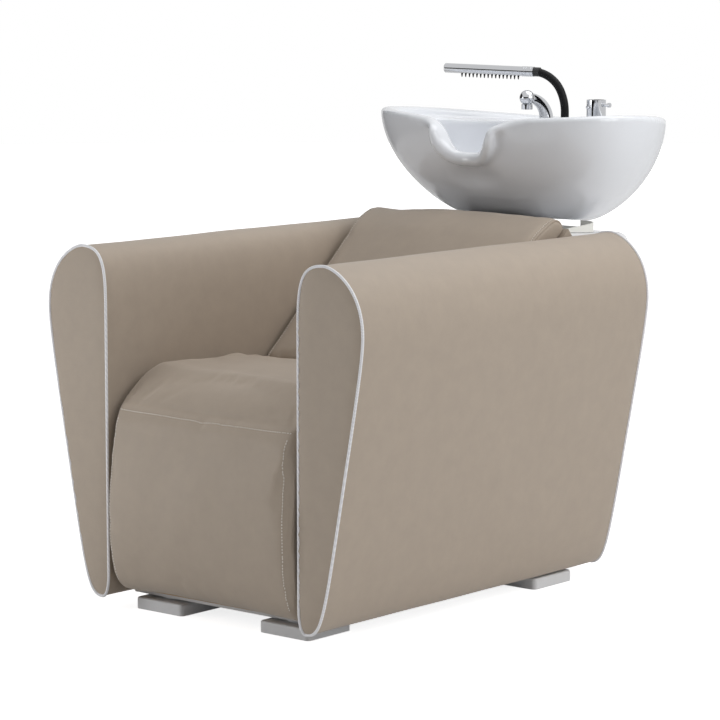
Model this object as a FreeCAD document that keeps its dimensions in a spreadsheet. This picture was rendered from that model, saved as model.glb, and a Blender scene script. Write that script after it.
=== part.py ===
import FreeCAD, Part
import math
import os
import Sketcher
from FreeCAD import Placement, Rotation, Vector

os.makedirs("parts", exist_ok=True)
doc = FreeCAD.newDocument("backwash_unit")

# Driving sizes in millimetres, angles in degrees. Heights count from the floor and depths from the
# front faces of the two arms, unless the name says otherwise.
SIZES = {
    # two arms: one outline, seen from the front, drawn back over the whole length
    "arm_gap_half": 237.5,
    "arm_length": 862.0,
    "arm_top_drop": 27.0,
    "arm_width": 148.6,
    "arm_crown_out": 59.0,
    "arm_waist_out": 114.0,
    "arm_slant": 10.8,
    "arm_toe_out": 17.0,
    "arm_toe_height": 45.0,
    "arm_padding": 14.0,
    "arm_frame_wall": 12.0,
    "arm_rib": 15.0,
    "arm_panel": 4.0,
    "piping": 5.0,
    "piping_proud": 0.8,
    # base plate and its four moulded feet
    "plate_thickness": 9.0,
    "plate_setback": 72.0,
    "plate_rear_reach": 32.0,
    "foot_side": 120.0,
    "foot_height": 22.0,
    "foot_corner": 9.0,
    "foot_edge": 4.0,
    "foot_boss_radius": 34.0,
    "foot_boss_height": 4.0,
    "front_foot_inset": 81.0,
    "front_foot_depth": 112.4,
    "rear_foot_inset": 32.5,
    "rear_foot_lead": 136.0,
    "foot_screw_radius": 5.0,
    "foot_screw_head": 9.0,
    "foot_screw_length": 20.0,
    "screw_head_height": 4.0,
    # seat: plywood box and one L-shaped cushion that drops over its front
    "board": 15.0,
    "box_front": 60.0,
    "box_rear_reach": 130.0,
    "seat_thickness": 120.0,
    "seat_side_gap": 4.5,
    "seat_front_low": 40.0,
    "seat_roll_start": 50.0,
    "seat_roll_depth": 16.0,
    "seat_roll_height": 54.0,
    "seat_front_foot": 84.0,
    "seat_front_bulge": 16.0,
    "seat_front_top_drop": 107.0,
    "seat_nose_depth": 130.0,
    "seat_nose_drop": 7.0,
    "seat_corner_depth": 35.0,
    "seat_corner_drop": 38.0,
    "seat_crest_depth": 235.0,
    "seat_crest_height": 453.0,
    "seat_rear_lead": 3.0,
    "seat_rear_drop": 2.0,
    "seat_heel_reach": 44.0,
    "seat_crown": 7.0,
    "seat_edge_draw": 9.0,
    # sloping backrest: cushion, board and rear panel, all on one slope
    "back_slope": 42.2,
    "back_start_depth": 430.0,
    "back_start_drop": 17.0,
    "back_face_length": 348.0,
    "back_cushion_thickness": 60.0,
    "back_shoulder_reach": 43.2,
    "back_shoulder_rise": 28.2,
    "back_top_reach": 80.2,
    "back_top_rise": 43.2,
    "back_nape_reach": 102.2,
    "back_nape_rise": 36.2,
    "back_rear_excess": 95.0,
    "back_side_gap": 1.0,
    "back_crown": 9.0,
    "back_edge_draw": 8.0,
    "back_board_start": 20.0,
    "back_board_excess": 80.0,
    "back_board_thickness": 12.0,
    "back_panel_thickness": 9.0,
    "bracket_inset": 59.5,
    "bracket_lead": 90.0,
    # arm bolts, through the box wall into the arm frame
    "bolt_radius": 4.0,
    "bolt_hole_play": 0.2,
    "bolt_head_radius": 8.0,
    "bolt_head_height": 6.0,
    "bolt_front_reach": 90.0,
    "bolt_rear_lead": 90.0,
    "bolt_low_rise": 75.0,
    "bolt_high_drop": 63.0,
    # steel column with the tilt bracket on its top
    "column_width": 120.0,
    "column_depth": 70.0,
    "column_wall": 3.0,
    "column_flange": 8.0,
    "column_flange_edge": 16.0,
    "column_lead": 22.0,
    "bracket_plate": 6.0,
    "bracket_drop": 55.0,
    "ear_gap_half": 50.0,
    "ear_thickness": 6.0,
    "ear_radius": 21.0,
    "pivot_reach": 63.5,
    "pivot_drop": 58.0,
    "pin_radius": 8.0,
    "pin_play": 0.05,
    "pin_end": 3.0,
    "nut_radius": 13.0,
    "nut_height": 7.0,
    # saddle plate under the bowl, with two ears outside those of the bracket
    "saddle_front_reach": 13.0,
    "saddle_rear_reach": 58.0,
    "saddle_half_width": 80.0,
    "saddle_thickness": 6.0,
    "saddle_bolt_inset": 8.0,
    "saddle_bolt_front_reach": 24.0,
    "saddle_bolt_rear_reach": 49.0,
    "saddle_bolt_grip": 9.0,
    # white rear cover, its service panel and the sheet collar under the bowl
    "cover_side_gap": 8.5,
    "cover_front_gap": 9.5,
    "cover_rear_reach": 162.0,
    "cover_foot_reach": 35.0,
    "cover_top_rise": 14.0,
    "cover_pitch": 3.6,
    "cover_wall": 4.0,
    "cover_round": 26.0,
    "cover_slot_half": 95.0,
    "cover_slot_lead": 36.0,
    "cover_slot_reach": 62.0,
    "cover_drain_radius": 35.0,
    "panel_half_width": 125.0,
    "panel_low": 150.0,
    "panel_top_drop": 154.0,
    "panel_thickness": 3.0,
    "panel_lap": 14.0,
    "panel_corner": 12.0,
    "panel_screw_radius": 3.0,
    "panel_screw_head": 5.5,
    "collar_side_gap": 26.5,
    "collar_front_gap": 11.5,
    "collar_rear_reach": 68.0,
    "collar_wall": 3.0,
    "collar_corner": 38.0,
    "collar_front_rise": 34.0,
    "collar_rear_rise": 41.0,
    "collar_notch_inset": 49.0,
    "collar_notch_rise": 28.0,
    # glazed bowl: egg-shaped rim, tilted and raised at the sides
    "rim_centre_reach": 69.5,
    "rim_centre_rise": 238.8,
    "rim_half_width": 302.8,
    "rim_front_reach": 175.4,
    "rim_rear_reach": 326.6,
    "rim_side_rise": 16.3,
    "bowl_low_reach": 111.0,
    "bowl_depth": 198.9,
    "rim_round": 7.0,
    "rim_inner_round": 19.0,
    "rim_width": 33.0,
    "bowl_front_inset": 34.0,
    "bowl_side_inset": 36.0,
    "bowl_rear_reach": 134.0,
    "bowl_inner_reach": 95.0,
    "bowl_floor": 13.0,
    "deck_recess": 7.0,
    "bowl_inner_drop": 17.0,
    "notch_half_width": 60.0,
    "notch_drop": 68.0,
    "notch_root": 118.0,
    "notch_lip": 13.0,
    "notch_round": 17.0,
    "bowl_wall": 12.0,
    "cavity_reach": 125.0,
    "deck_thickness": 12.0,
    "hatch_half_width": 90.0,
    "hatch_front_reach": 182.0,
    "hatch_rear_reach": 270.0,
    "hatch_corner": 18.0,
    # waste in the bowl's floor
    "drain_lead": 6.0,
    "waste_bore": 22.0,
    "waste_flange_radius": 35.0,
    "waste_flange_height": 3.0,
    "waste_wall": 2.5,
    "waste_length": 28.0,
    "waste_ledge": 0.6,
    "waste_nut_radius": 33.0,
    "waste_nut_height": 9.0,
    "tail_length": 24.0,
    "trap_radius": 25.0,
    "trap_length": 72.0,
    "trap_outlet_radius": 16.0,
    "trap_outlet_length": 12.0,
    "strainer_radius": 27.0,
    "strainer_height": 2.0,
    "strainer_stem": 12.0,
    "strainer_stem_radius": 4.0,
    "strainer_hole": 3.0,
    "strainer_ring": 14.0,
    "strainer_knob": 5.0,
    # taps on the deck behind the bowl
    "tap_reach": 252.0,
    "seat_face_radius": 25.0,
    "mixer_out": 64.0,
    "mixer_shank_radius": 14.0,
    "mixer_foot_radius": 22.0,
    "mixer_foot_height": 8.0,
    "mixer_radius": 20.0,
    "mixer_handle_height": 41.0,
    "mixer_spindle_radius": 9.0,
    "mixer_spindle_height": 22.0,
    "mixer_cap_radius": 17.0,
    "mixer_cap_depth": 2.5,
    "mixer_cap_sink": 0.9,
    "lever_radius": 3.2,
    "lever_reach": 35.0,
    "lever_height": 39.0,
    "lever_knob_radius": 4.8,
    "lever_knob_length": 5.0,
    "stub_reach": 25.0,
    "stub_height": 34.0,
    "shank_length": 40.0,
    "tap_nut_radius": 20.0,
    "tap_nut_height": 8.0,
    "spout_out": 64.0,
    "spout_foot_radius": 17.5,
    "spout_foot_height": 5.0,
    "spout_shank_radius": 10.0,
    "spout_peg_radius": 8.0,
    "spout_peg_height": 10.0,
    "spout_root_radius": 15.0,
    "spout_neck_radius": 9.5,
    "spout_reach": 67.0,
    "spout_rise": 52.0,
    "spout_ball_radius": 15.8,
    "aerator_radius": 11.6,
    "aerator_bore": 8.0,
    "aerator_drop": 24.0,
    "aerator_top": 13.3,
    # self-supporting hose and spray bar
    "hose_out": 16.0,
    "hose_radius": 8.5,
    "hose_bore": 5.0,
    "bush_radius": 13.5,
    "bush_height": 6.0,
    "bush_shank_radius": 12.0,
    "hose_straight_length": 21.0,
    "hose_low_radius": 103.0,
    "hose_low_turn": 25.0,
    "hose_top_radius": 68.0,
    "hose_top_turn": 63.5,
    "hose_end_length": 14.0,
    "spray_heading": 15.0,
    "ferrule_radius": 9.6,
    "ferrule_length": 13.0,
    "collar_radius": 10.6,
    "spray_collar_length": 26.0,
    "groove_depth": 0.6,
    "groove_width": 1.4,
    "spray_radius": 10.0,
    "spray_wall": 1.6,
    "spray_length": 172.0,
    "spray_cap_length": 4.0,
    "nozzle_start_length": 9.0,
    "nozzle_spacing": 8.55,
    "nozzle_length": 7.5,
    "nozzle_root_radius": 2.5,
    "nozzle_tip_radius": 0.9,
    # clearances that several pieces share
    "fit_gap": 0.3,
    "cut_overrun": 20.0,
}

# Sizes that follow from the ones above, so that neighbouring pieces keep together.
FOLLOWING = {
    "box_top": "seat_crest_height - seat_thickness",
    "seat_half_width": "arm_gap_half - seat_side_gap",
    "seat_front_top": "seat_crest_height - seat_front_top_drop",
    "seat_nose_height": "seat_crest_height - seat_nose_drop",
    "seat_corner_height": "seat_crest_height - seat_corner_drop",
    "seat_rear_depth": "back_start_depth - seat_rear_lead",
    "seat_rear_height": "back_start_height - seat_rear_drop",
    "seat_heel_depth": "back_start_depth + seat_heel_reach",
    "box_rear": "back_start_depth + box_rear_reach",
    "back_start_height": "seat_crest_height - back_start_drop",
    "back_end_depth": "back_start_depth + back_face_length * cos(back_slope)",
    "back_end_height": "back_start_height + back_face_length * sin(back_slope)",
    "back_shoulder_depth": "back_end_depth + back_shoulder_reach",
    "back_shoulder_height": "back_end_height + back_shoulder_rise",
    "back_top_depth": "back_end_depth + back_top_reach",
    "back_top_height": "back_end_height + back_top_rise",
    "back_nape_depth": "back_end_depth + back_nape_reach",
    "back_nape_height": "back_end_height + back_nape_rise",
    "back_rear_length": "back_face_length + back_rear_excess",
    "back_half_width": "arm_gap_half - back_side_gap",
    "back_board_length": "back_face_length + back_board_excess",
    "back_stack": "back_cushion_thickness + fit_gap + back_board_thickness + back_panel_thickness",
    "back_reach": ("back_start_depth + (back_board_start + back_board_length) * cos(back_slope)"
                   " + back_stack * sin(back_slope)"),
    "floor_gap": "foot_height + foot_boss_height",
    "plate_top": "floor_gap + plate_thickness",
    "plate_length": "pivot_depth + plate_rear_reach - plate_setback",
    "arm_height": "back_top_height - arm_top_drop - floor_gap",
    "front_foot_out": "arm_gap_half - front_foot_inset",
    "rear_foot_out": "arm_gap_half - rear_foot_inset",
    "rear_foot_depth": "arm_length - rear_foot_lead",
    "bolt_front": "box_front + bolt_front_reach",
    "bolt_rear": "box_rear - bolt_rear_lead",
    "bolt_low": "plate_top + bolt_low_rise",
    "bolt_high": "box_top - bolt_high_drop",
    "bracket_out": "arm_gap_half - bracket_inset",
    "bracket_rear": "pivot_depth - bracket_lead",
    "pivot_depth": "back_reach + pivot_reach",
    "pivot_height": "back_top_height - pivot_drop",
    "column_centre": "pivot_depth - column_lead",
    "bracket_level": "pivot_height - bracket_drop",
    "saddle_front": "pivot_depth + saddle_front_reach",
    "saddle_rear": "pivot_depth + saddle_rear_reach",
    "saddle_bolt_out": "saddle_half_width - saddle_bolt_inset",
    "saddle_bolt_front": "pivot_depth + saddle_bolt_front_reach",
    "saddle_bolt_rear": "pivot_depth + saddle_bolt_rear_reach",
    "cover_half_width": "arm_gap_half - cover_side_gap",
    "cover_front": "back_reach + cover_front_gap",
    "cover_rear": "pivot_depth + cover_rear_reach",
    "cover_foot_rear": "pivot_depth + cover_foot_reach",
    "cover_top_rear": "pivot_height + cover_top_rise",
    "cover_slot_front": "pivot_depth - cover_slot_lead",
    "cover_slot_rear": "pivot_depth + cover_slot_reach",
    "panel_high": "cover_top_rear - plate_top - panel_top_drop",
    "collar_half_width": "arm_gap_half - collar_side_gap",
    "collar_front": "back_reach + collar_front_gap",
    "collar_rear": "pivot_depth + collar_rear_reach",
    "collar_rim_front": "pivot_height + collar_front_rise",
    "collar_rim_rear": "pivot_height + collar_rear_rise",
    "collar_notch_half": "collar_half_width - collar_notch_inset",
    "collar_notch_level": "pivot_height + collar_notch_rise",
    "rim_centre_depth": "pivot_depth + rim_centre_reach",
    "rim_centre_height": "pivot_height + rim_centre_rise",
    "bowl_low_depth": "pivot_depth + bowl_low_reach",
    "bowl_inner_low": "pivot_depth + bowl_inner_reach",
    "cavity_front": "pivot_depth + cavity_reach",
    "hatch_front": "pivot_depth + hatch_front_reach",
    "hatch_rear": "pivot_depth + hatch_rear_reach",
    "drain_depth": "bowl_low_depth - drain_lead",
    "tap_depth": "pivot_depth + tap_reach",
}

# Where the arm's outline bends: lengths of its curve handles, as shares of the arm's height.
ARM_HANDLE_SHARES = {
    "shoulder_up": 0.118,
    "bulge_up": 0.132,
    "bulge_down": 0.040,
    "waist_up": 0.228,
    "waist_down": 0.440,
    "heel_down": 0.030,
}
# Those that lie level are shares of its width, and its marks are shares of its height.
ARM_LEVEL_SHARES = {
    "crown_in": 0.3376,
    "crown_out": 0.1554,
    "toe_out": 0.2665,
    "toe_in": 0.0844,
}
ARM_MARK_SHARES = {
    "shoulder": 0.83485,
    "bulge": 0.82121,
    "waist": 0.49091,
}
# Shape of the bowl: squareness of the rim, steepness of the walls, size of the low ring, and slopes.
RIM_FRONT_POWER = 2.79
RIM_REAR_POWER = 1.8
RIM_PITCH_SHARE = 0.048
LOW_RING_SHARE = 0.437
LOW_PITCH_SHARE = 0.098
WALL_POWERS = {"front": 1.42, "side": 1.29, "rear": 1.51}
WALL_ROUNDNESS = 1.965
INNER_POWER = 1.75
INNER_LOW_RING_SHARE = 0.42
OUTER_RING_SHARES = (1.0, 0.84, 0.68, 0.52, 0.36, 0.24, 0.16, 0.105, 0.065, 0.035, 0.012)
CAVITY_RING_SHARES = (1.0, 0.84, 0.68, 0.52, 0.36, 0.22, 0.11, 0.05)
INNER_RING_SHARES = (0.0, 0.06, 0.16, 0.30, 0.46, 0.64, 0.82, 1.0)
RIM_ROLL = ((0.0, 1.0), (0.09, 0.30), (0.21, 0.0), (0.55, 0.0), (0.78, 0.35))
NOTCH_SIDE_SHARES = (0.0, 0.05, 0.095, 0.135, 0.17, 0.205, 0.24, 0.285, 0.345, 0.43, 0.55, 0.68, 0.8, 0.9,
                     0.965, 1.0)
NOTCH_POWER = 6
LIP_START_SHARE = 0.45
REAR_ANGLE_SHARES = (0.12, 0.28, 0.46, 0.64, 0.82, 1.0)
SPAN_STEPS = 6
SPAN_SEARCH_STEPS = 200
NOZZLE_COUNT = 16
STRAINER_HOLES = 8
HALF_STATION_SHARES = (0.0, 0.3, 0.6, 0.82, 0.93, 0.97, 0.99, 1.0)
EDGE_ROUND_SHARE = 0.07
LEAST_LIFT_SHARE = 0.04
FULL_TURN = 360.0
# An edge runs along an axis from the first share of its heading on, and mostly along it from the second.
ALONG_SHARE = 0.99
MOSTLY_SHARE = 0.5
# How far the shoulder, the nape and the face's end of the back cushion follow its crown and its edges.
SHOULDER_RISE_SHARE = 0.3
BACK_EDGE_SHARE = 0.5
# How far down its slope the rim's inner side meets the bowl, and how soon it flattens to the deck.
DECK_EDGE_SHARE = 0.6
DECK_REACH_SHARE = 0.5

sheet = doc.addObject("Spreadsheet::Sheet", "sizes")
rows = [(alias, str(value)) for alias, value in SIZES.items()]
rows += [(alias, "=" + rule) for alias, rule in FOLLOWING.items()]
for row, (alias, entry) in enumerate(rows, start=1):
    sheet.set("A%d" % row, alias)
    sheet.setAlias("B%d" % row, alias)
for row, (alias, entry) in enumerate(rows, start=1):
    sheet.set("B%d" % row, entry)
doc.recompute()


class SheetSizes:
    """Gives each size as it stands in the sheet."""

    def __getattr__(self, alias):
        return float(getattr(sheet, alias))


mm = SheetSizes()
floor_gap = mm.floor_gap
plate_top = mm.plate_top
# The whole unit is centred front to back between the seat's front and the bowl's rear rim.
front_y = -(mm.rim_centre_depth + mm.rim_rear_reach - mm.seat_front_bulge) / 2.0
deck_level = (mm.rim_centre_height - RIM_PITCH_SHARE * (mm.tap_depth - mm.rim_centre_depth)
              - mm.deck_recess - mm.fit_gap)
low_pitch = math.degrees(math.atan(LOW_PITCH_SHARE))

nodes = []


def at(x, depth, height, rotation=None):
    """Placement from the middle plane, the arms' front faces and the floor."""
    return Placement(Vector(x, front_y + depth, height), rotation or Rotation())


def keep(piece, label, place=None):
    """Names a finished sub-part and puts it in its place."""
    piece.Label = label
    if place is not None:
        piece.Placement = place
    nodes.append(piece)
    return piece


def shaped(label, shape, place):
    """A sub-part whose shape is worked out in code."""
    piece = doc.addObject("Part::Feature", label)
    piece.Shape = shape
    return keep(piece, label, place.multiply(shape.Placement))


def cylinder(name, radius, height, place):
    """A round primitive whose radius and height follow the sheet."""
    piece = doc.addObject("Part::Cylinder", name)
    piece.setExpression("Radius", radius)
    piece.setExpression("Height", height)
    piece.Placement = place
    return piece


def block(name, length, width, height, place):
    """A square primitive, centred over its placement in length and width."""
    piece = doc.addObject("Part::Box", name)
    piece.setExpression("Length", length)
    piece.setExpression("Width", width)
    piece.setExpression("Height", height)
    x_size = piece.evalExpression(length)
    y_size = piece.evalExpression(width)
    piece.Placement = place.multiply(Placement(Vector(-x_size / 2.0, -y_size / 2.0, 0), Rotation()))
    return piece


def fused(name, *pieces):
    """Several primitives as one piece."""
    piece = doc.addObject("Part::MultiFuse", name)
    piece.Shapes = list(pieces)
    return piece


def minus(name, base, *tools):
    """A piece with one or more others cut out of it."""
    piece = doc.addObject("Part::Cut", name)
    piece.Base = base
    piece.Tool = tools[0] if len(tools) == 1 else fused(name + "_tools", *tools)
    return piece


def plane_of(body, role):
    """One of the body's own origin planes."""
    for feature in body.Origin.OriginFeatures:
        if feature.Role == role:
            return feature
    raise ValueError(role)


def corner_sketch(body, role, corners, name):
    """A closed outline whose corners are each held by two sizes from the sheet."""
    sketch = body.newObject("Sketcher::SketchObject", name)
    sketch.AttachmentSupport = (plane_of(body, role), [""])
    sketch.MapMode = "FlatFace"
    points = [Vector(float(sketch.evalExpression(across)), float(sketch.evalExpression(up)), 0)
              for across, up in corners]
    count = len(points)
    for index in range(count):
        sketch.addGeometry(Part.LineSegment(points[index], points[(index + 1) % count]), False)
    for index in range(count):
        sketch.addConstraint(Sketcher.Constraint("Coincident", index, 2, (index + 1) % count, 1))
    for index, (across, up) in enumerate(corners):
        for kind, expression, value in (("DistanceX", across, points[index].x),
                                        ("DistanceY", up, points[index].y)):
            number = sketch.addConstraint(Sketcher.Constraint(kind, -1, 1, index, 1, value))
            if expression != "0":
                sketch.setExpression("Constraints[%d]" % number, expression)
    return sketch


def circle_sketch(body, role, circles, name):
    """Circles at held centres, each given as (x, y, radius) in sheet terms."""
    sketch = body.newObject("Sketcher::SketchObject", name)
    sketch.AttachmentSupport = (plane_of(body, role), [""])
    sketch.MapMode = "FlatFace"
    for across, up, radius in circles:
        centre = Vector(float(sketch.evalExpression(across)), float(sketch.evalExpression(up)), 0)
        number = sketch.addGeometry(
            Part.Circle(centre, Vector(0, 0, 1), float(sketch.evalExpression(radius))), False)
        held = sketch.addConstraint(Sketcher.Constraint("Radius", number, float(
            sketch.evalExpression(radius))))
        sketch.setExpression("Constraints[%d]" % held, radius)
        for kind, expression, value in (("DistanceX", across, centre.x), ("DistanceY", up, centre.y)):
            held = sketch.addConstraint(Sketcher.Constraint(kind, -1, 1, number, 3, value))
            if expression != "0":
                sketch.setExpression("Constraints[%d]" % held, expression)
    return sketch


def padded_body(name, role, corners, thickness, midplane=False):
    """A flat piece: an outline of corners, padded to its thickness."""
    body = doc.addObject("PartDesign::Body", name)
    pad = body.newObject("PartDesign::Pad", name + "_pad")
    pad.Profile = corner_sketch(body, role, corners, name + "_outline")
    pad.setExpression("Length", thickness)
    pad.Midplane = midplane
    body.Tip = pad
    return body


def turned_body(name, corners):
    """A turned piece: half a section, given as (radius, height), spun about the upright axis."""
    body = doc.addObject("PartDesign::Body", name)
    sketch = corner_sketch(body, "XZ_Plane", corners, name + "_section")
    turn = body.newObject("PartDesign::Revolution", name + "_turn")
    turn.Profile = sketch
    turn.ReferenceAxis = (sketch, ["V_Axis"])
    turn.Angle = FULL_TURN
    body.Tip = turn
    return body


def drilled(body, name, circles, depth, role="XY_Plane"):
    """Round holes cut right through a flat piece, both ways from its sketch plane."""
    pocket = body.newObject("PartDesign::Pocket", name + "_holes")
    pocket.Profile = circle_sketch(body, role, circles, name + "_circles")
    pocket.setExpression("Length", depth)
    pocket.Midplane = True
    body.Tip = pocket
    return body


def prism(points, x_from, x_to):
    """A solid with a side outline given as (depth, height), between two widths."""
    corners = [Vector(x_from, depth, height) for depth, height in points]
    face = Part.Face(Part.makePolygon(corners + corners[:1]))
    return face.extrude(Vector(x_to - x_from, 0, 0))


# Base plate: one steel plate between the arms, drilled for the four foot screws.
FOOT_PLACES = {
    "foot_front_left": (-mm.front_foot_out, mm.front_foot_depth),
    "foot_front_right": (mm.front_foot_out, mm.front_foot_depth),
    "foot_rear_left": (-mm.rear_foot_out, mm.rear_foot_depth),
    "foot_rear_right": (mm.rear_foot_out, mm.rear_foot_depth),
}
plate_edge = "(sizes.arm_gap_half - sizes.fit_gap)"
base_plate = padded_body(
    "base_plate", "XY_Plane",
    [("-" + plate_edge, "sizes.plate_setback"),
     (plate_edge, "sizes.plate_setback"),
     (plate_edge, "sizes.plate_setback + sizes.plate_length"),
     ("-" + plate_edge, "sizes.plate_setback + sizes.plate_length")],
    "sizes.plate_thickness")
doc.recompute()
drilled(base_plate, "base_plate", [
    (sign + "sizes.%s_foot_out" % end, "sizes.%s_foot_depth" % end,
     "sizes.foot_screw_radius + sizes.bolt_hole_play")
    for end in ("front", "rear") for sign in ("", "-")], "sizes.cut_overrun * 2")
keep(base_plate, "base_plate", at(0, 0, floor_gap))

# Four moulded feet: a rounded block with a round boss that the plate sits on.
half_foot = "sizes.foot_side / 2"
for label, (foot_x, foot_depth) in FOOT_PLACES.items():
    foot = padded_body(label, "XY_Plane",
                       [("-" + half_foot, "-" + half_foot), (half_foot, "-" + half_foot),
                        (half_foot, half_foot), ("-" + half_foot, half_foot)], "sizes.foot_height")
    doc.recompute()
    upright = ["Edge%d" % (number + 1) for number, edge in enumerate(foot.Shape.Edges)
               if abs(edge.tangentAt(edge.FirstParameter).z) > ALONG_SHARE]
    plain = foot.Tip
    corners = foot.newObject("PartDesign::Fillet", label + "_corners")
    corners.Base = (plain, upright)
    corners.setExpression("Radius", "sizes.foot_corner")
    foot.Tip = corners
    doc.recompute()
    faces = foot.Shape.Faces
    top_face = max(range(len(faces)), key=lambda number: faces[number].CenterOfMass.z)
    edges = foot.newObject("PartDesign::Fillet", label + "_edges")
    edges.Base = (corners, ["Face%d" % (top_face + 1)])
    edges.setExpression("Radius", "sizes.foot_edge")
    foot.Tip = edges
    boss = foot.newObject("PartDesign::Pad", label + "_boss")
    boss.Profile = circle_sketch(foot, "XY_Plane", [("0", "0", "sizes.foot_boss_radius")],
                                 label + "_boss_outline")
    boss.setExpression("Length", "sizes.foot_height + sizes.foot_boss_height")
    foot.Tip = boss
    doc.recompute()
    bore = foot.newObject("PartDesign::Pocket", label + "_bore")
    bore.Profile = circle_sketch(foot, "XY_Plane", [
        ("0", "0", "sizes.foot_screw_radius + sizes.bolt_hole_play")], label + "_bore_outline")
    bore.setExpression("Length", "(sizes.foot_height + sizes.foot_boss_height) * 2")
    bore.Midplane = True
    foot.Tip = bore
    keep(foot, label, at(foot_x, foot_depth, 0))

# Foot screws: round heads on the plate, shanks down through plate and boss.
foot_screws = []
for label, (foot_x, foot_depth) in FOOT_PLACES.items():
    head = cylinder(label + "_screw_head", "sizes.foot_screw_head", "sizes.screw_head_height",
                    at(foot_x, foot_depth, plate_top))
    shank = cylinder(label + "_screw_shank", "sizes.foot_screw_radius",
                     "sizes.foot_screw_length", at(foot_x, foot_depth, plate_top - mm.foot_screw_length))
    foot_screws.append(fused(label + "_screw", head, shank))
screws = doc.addObject("Part::Compound", "foot_screws")
screws.Links = foot_screws
keep(screws, "foot_screws")


# Arms: an egg-like outline, upright inside, leaning outwards to a full rounded top.
def arm_spans():
    """The outline's curves as (start, handle, handle, end), each point outwards and up."""
    share = {name: value * mm.arm_height for name, value in ARM_HANDLE_SHARES.items()}
    share.update({name: value * mm.arm_width for name, value in ARM_LEVEL_SHARES.items()})
    shoulder, bulge, waist = (mm.arm_height * value for value in ARM_MARK_SHARES.values())
    slant = math.radians(mm.arm_slant)
    out_slant = math.sin(slant)
    up_slant = math.cos(slant)
    return [
        ((0, shoulder), (0, shoulder + share["shoulder_up"]),
         (mm.arm_crown_out - share["crown_in"], mm.arm_height), (mm.arm_crown_out, mm.arm_height)),
        ((mm.arm_crown_out, mm.arm_height), (mm.arm_crown_out + share["crown_out"], mm.arm_height),
         (mm.arm_width, bulge + share["bulge_up"]), (mm.arm_width, bulge)),
        ((mm.arm_width, bulge), (mm.arm_width, bulge - share["bulge_down"]),
         (mm.arm_waist_out + share["waist_up"] * out_slant,
          waist + share["waist_up"] * up_slant),
         (mm.arm_waist_out, waist)),
        ((mm.arm_waist_out, waist),
         (mm.arm_waist_out - share["waist_down"] * out_slant,
          waist - share["waist_down"] * up_slant),
         (mm.arm_toe_out + share["toe_out"], 0), (mm.arm_toe_out, 0)),
        ((mm.arm_toe_out, 0), (mm.arm_toe_out - share["toe_in"], 0),
         (0, mm.arm_toe_height - share["heel_down"]), (0, mm.arm_toe_height)),
    ]


def inset_point(span, share, inset):
    """A point of a curve, moved inwards, and the way the curve runs there."""
    rest = 1.0 - share
    weights = (rest ** 3, 3.0 * rest * rest * share, 3.0 * rest * share * share, share ** 3)
    slopes = (-rest * rest, rest * rest - 2.0 * rest * share, 2.0 * rest * share - share * share,
              share * share)
    out, up = (sum(weight * corner[axis] for weight, corner in zip(weights, span)) for axis in (0, 1))
    run, climb = (sum(slope * corner[axis] for slope, corner in zip(slopes, span)) for axis in (0, 1))
    length = math.hypot(run, climb)
    run, climb = run / length, climb / length
    return (out + climb * inset, up - run * inset), (run, climb)


def arm_outline(side, inset):
    """An arm's outline seen from the front, drawn in by an inset, with a square toe once inside."""
    spans = arm_spans()
    square_toe = inset > mm.piping + mm.arm_padding / 2.0
    edges = []
    if square_toe:
        spans = spans[:-1]
    for number, span in enumerate(spans):
        last = 1.0
        if square_toe and number == len(spans) - 1:
            while inset_point(span, last, inset)[0][0] < inset + mm.fit_gap:
                last -= 1.0 / SPAN_SEARCH_STEPS
        stations = [inset_point(span, last * step / SPAN_STEPS, inset) for step in range(SPAN_STEPS + 1)]
        points = [Vector(out * side, 0, up) for (out, up), _ in stations]
        ways = [Vector(run * side, 0, climb) for _, (run, climb) in (stations[0], stations[-1])]
        curve = Part.BSplineCurve()
        curve.interpolate(points, InitialTangent=ways[0], FinalTangent=ways[1])
        edges.append(curve.toShape())
    start = edges[0].Vertexes[0].Point
    end = points[-1]
    if square_toe:
        corner = Vector(inset * side, 0, end.z)
        edges.append(Part.LineSegment(end, corner).toShape())
        end = corner
    edges.append(Part.LineSegment(end, start).toShape())
    return Part.Wire(edges)


def arm_slab(side, inset, start, end):
    """A slice of an arm between two depths, its outline drawn in by an inset."""
    face = Part.Face(arm_outline(side, inset))
    face.translate(Vector(0, start, 0))
    return face.extrude(Vector(0, end - start, 0))


bolt_places = [(depth, height) for depth in (mm.bolt_front, mm.bolt_rear)
               for height in (mm.bolt_low, mm.bolt_high)]


def bolt_holes(side, reach):
    """Round holes for the arm bolts, outwards from the arm's inner face."""
    tools = [Part.makeCylinder(mm.bolt_radius + mm.bolt_hole_play, reach + mm.cut_overrun,
                               Vector(-mm.cut_overrun * side, depth, height - floor_gap),
                               Vector(side, 0, 0))
             for depth, height in bolt_places]
    return Part.makeCompound(tools)


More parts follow.
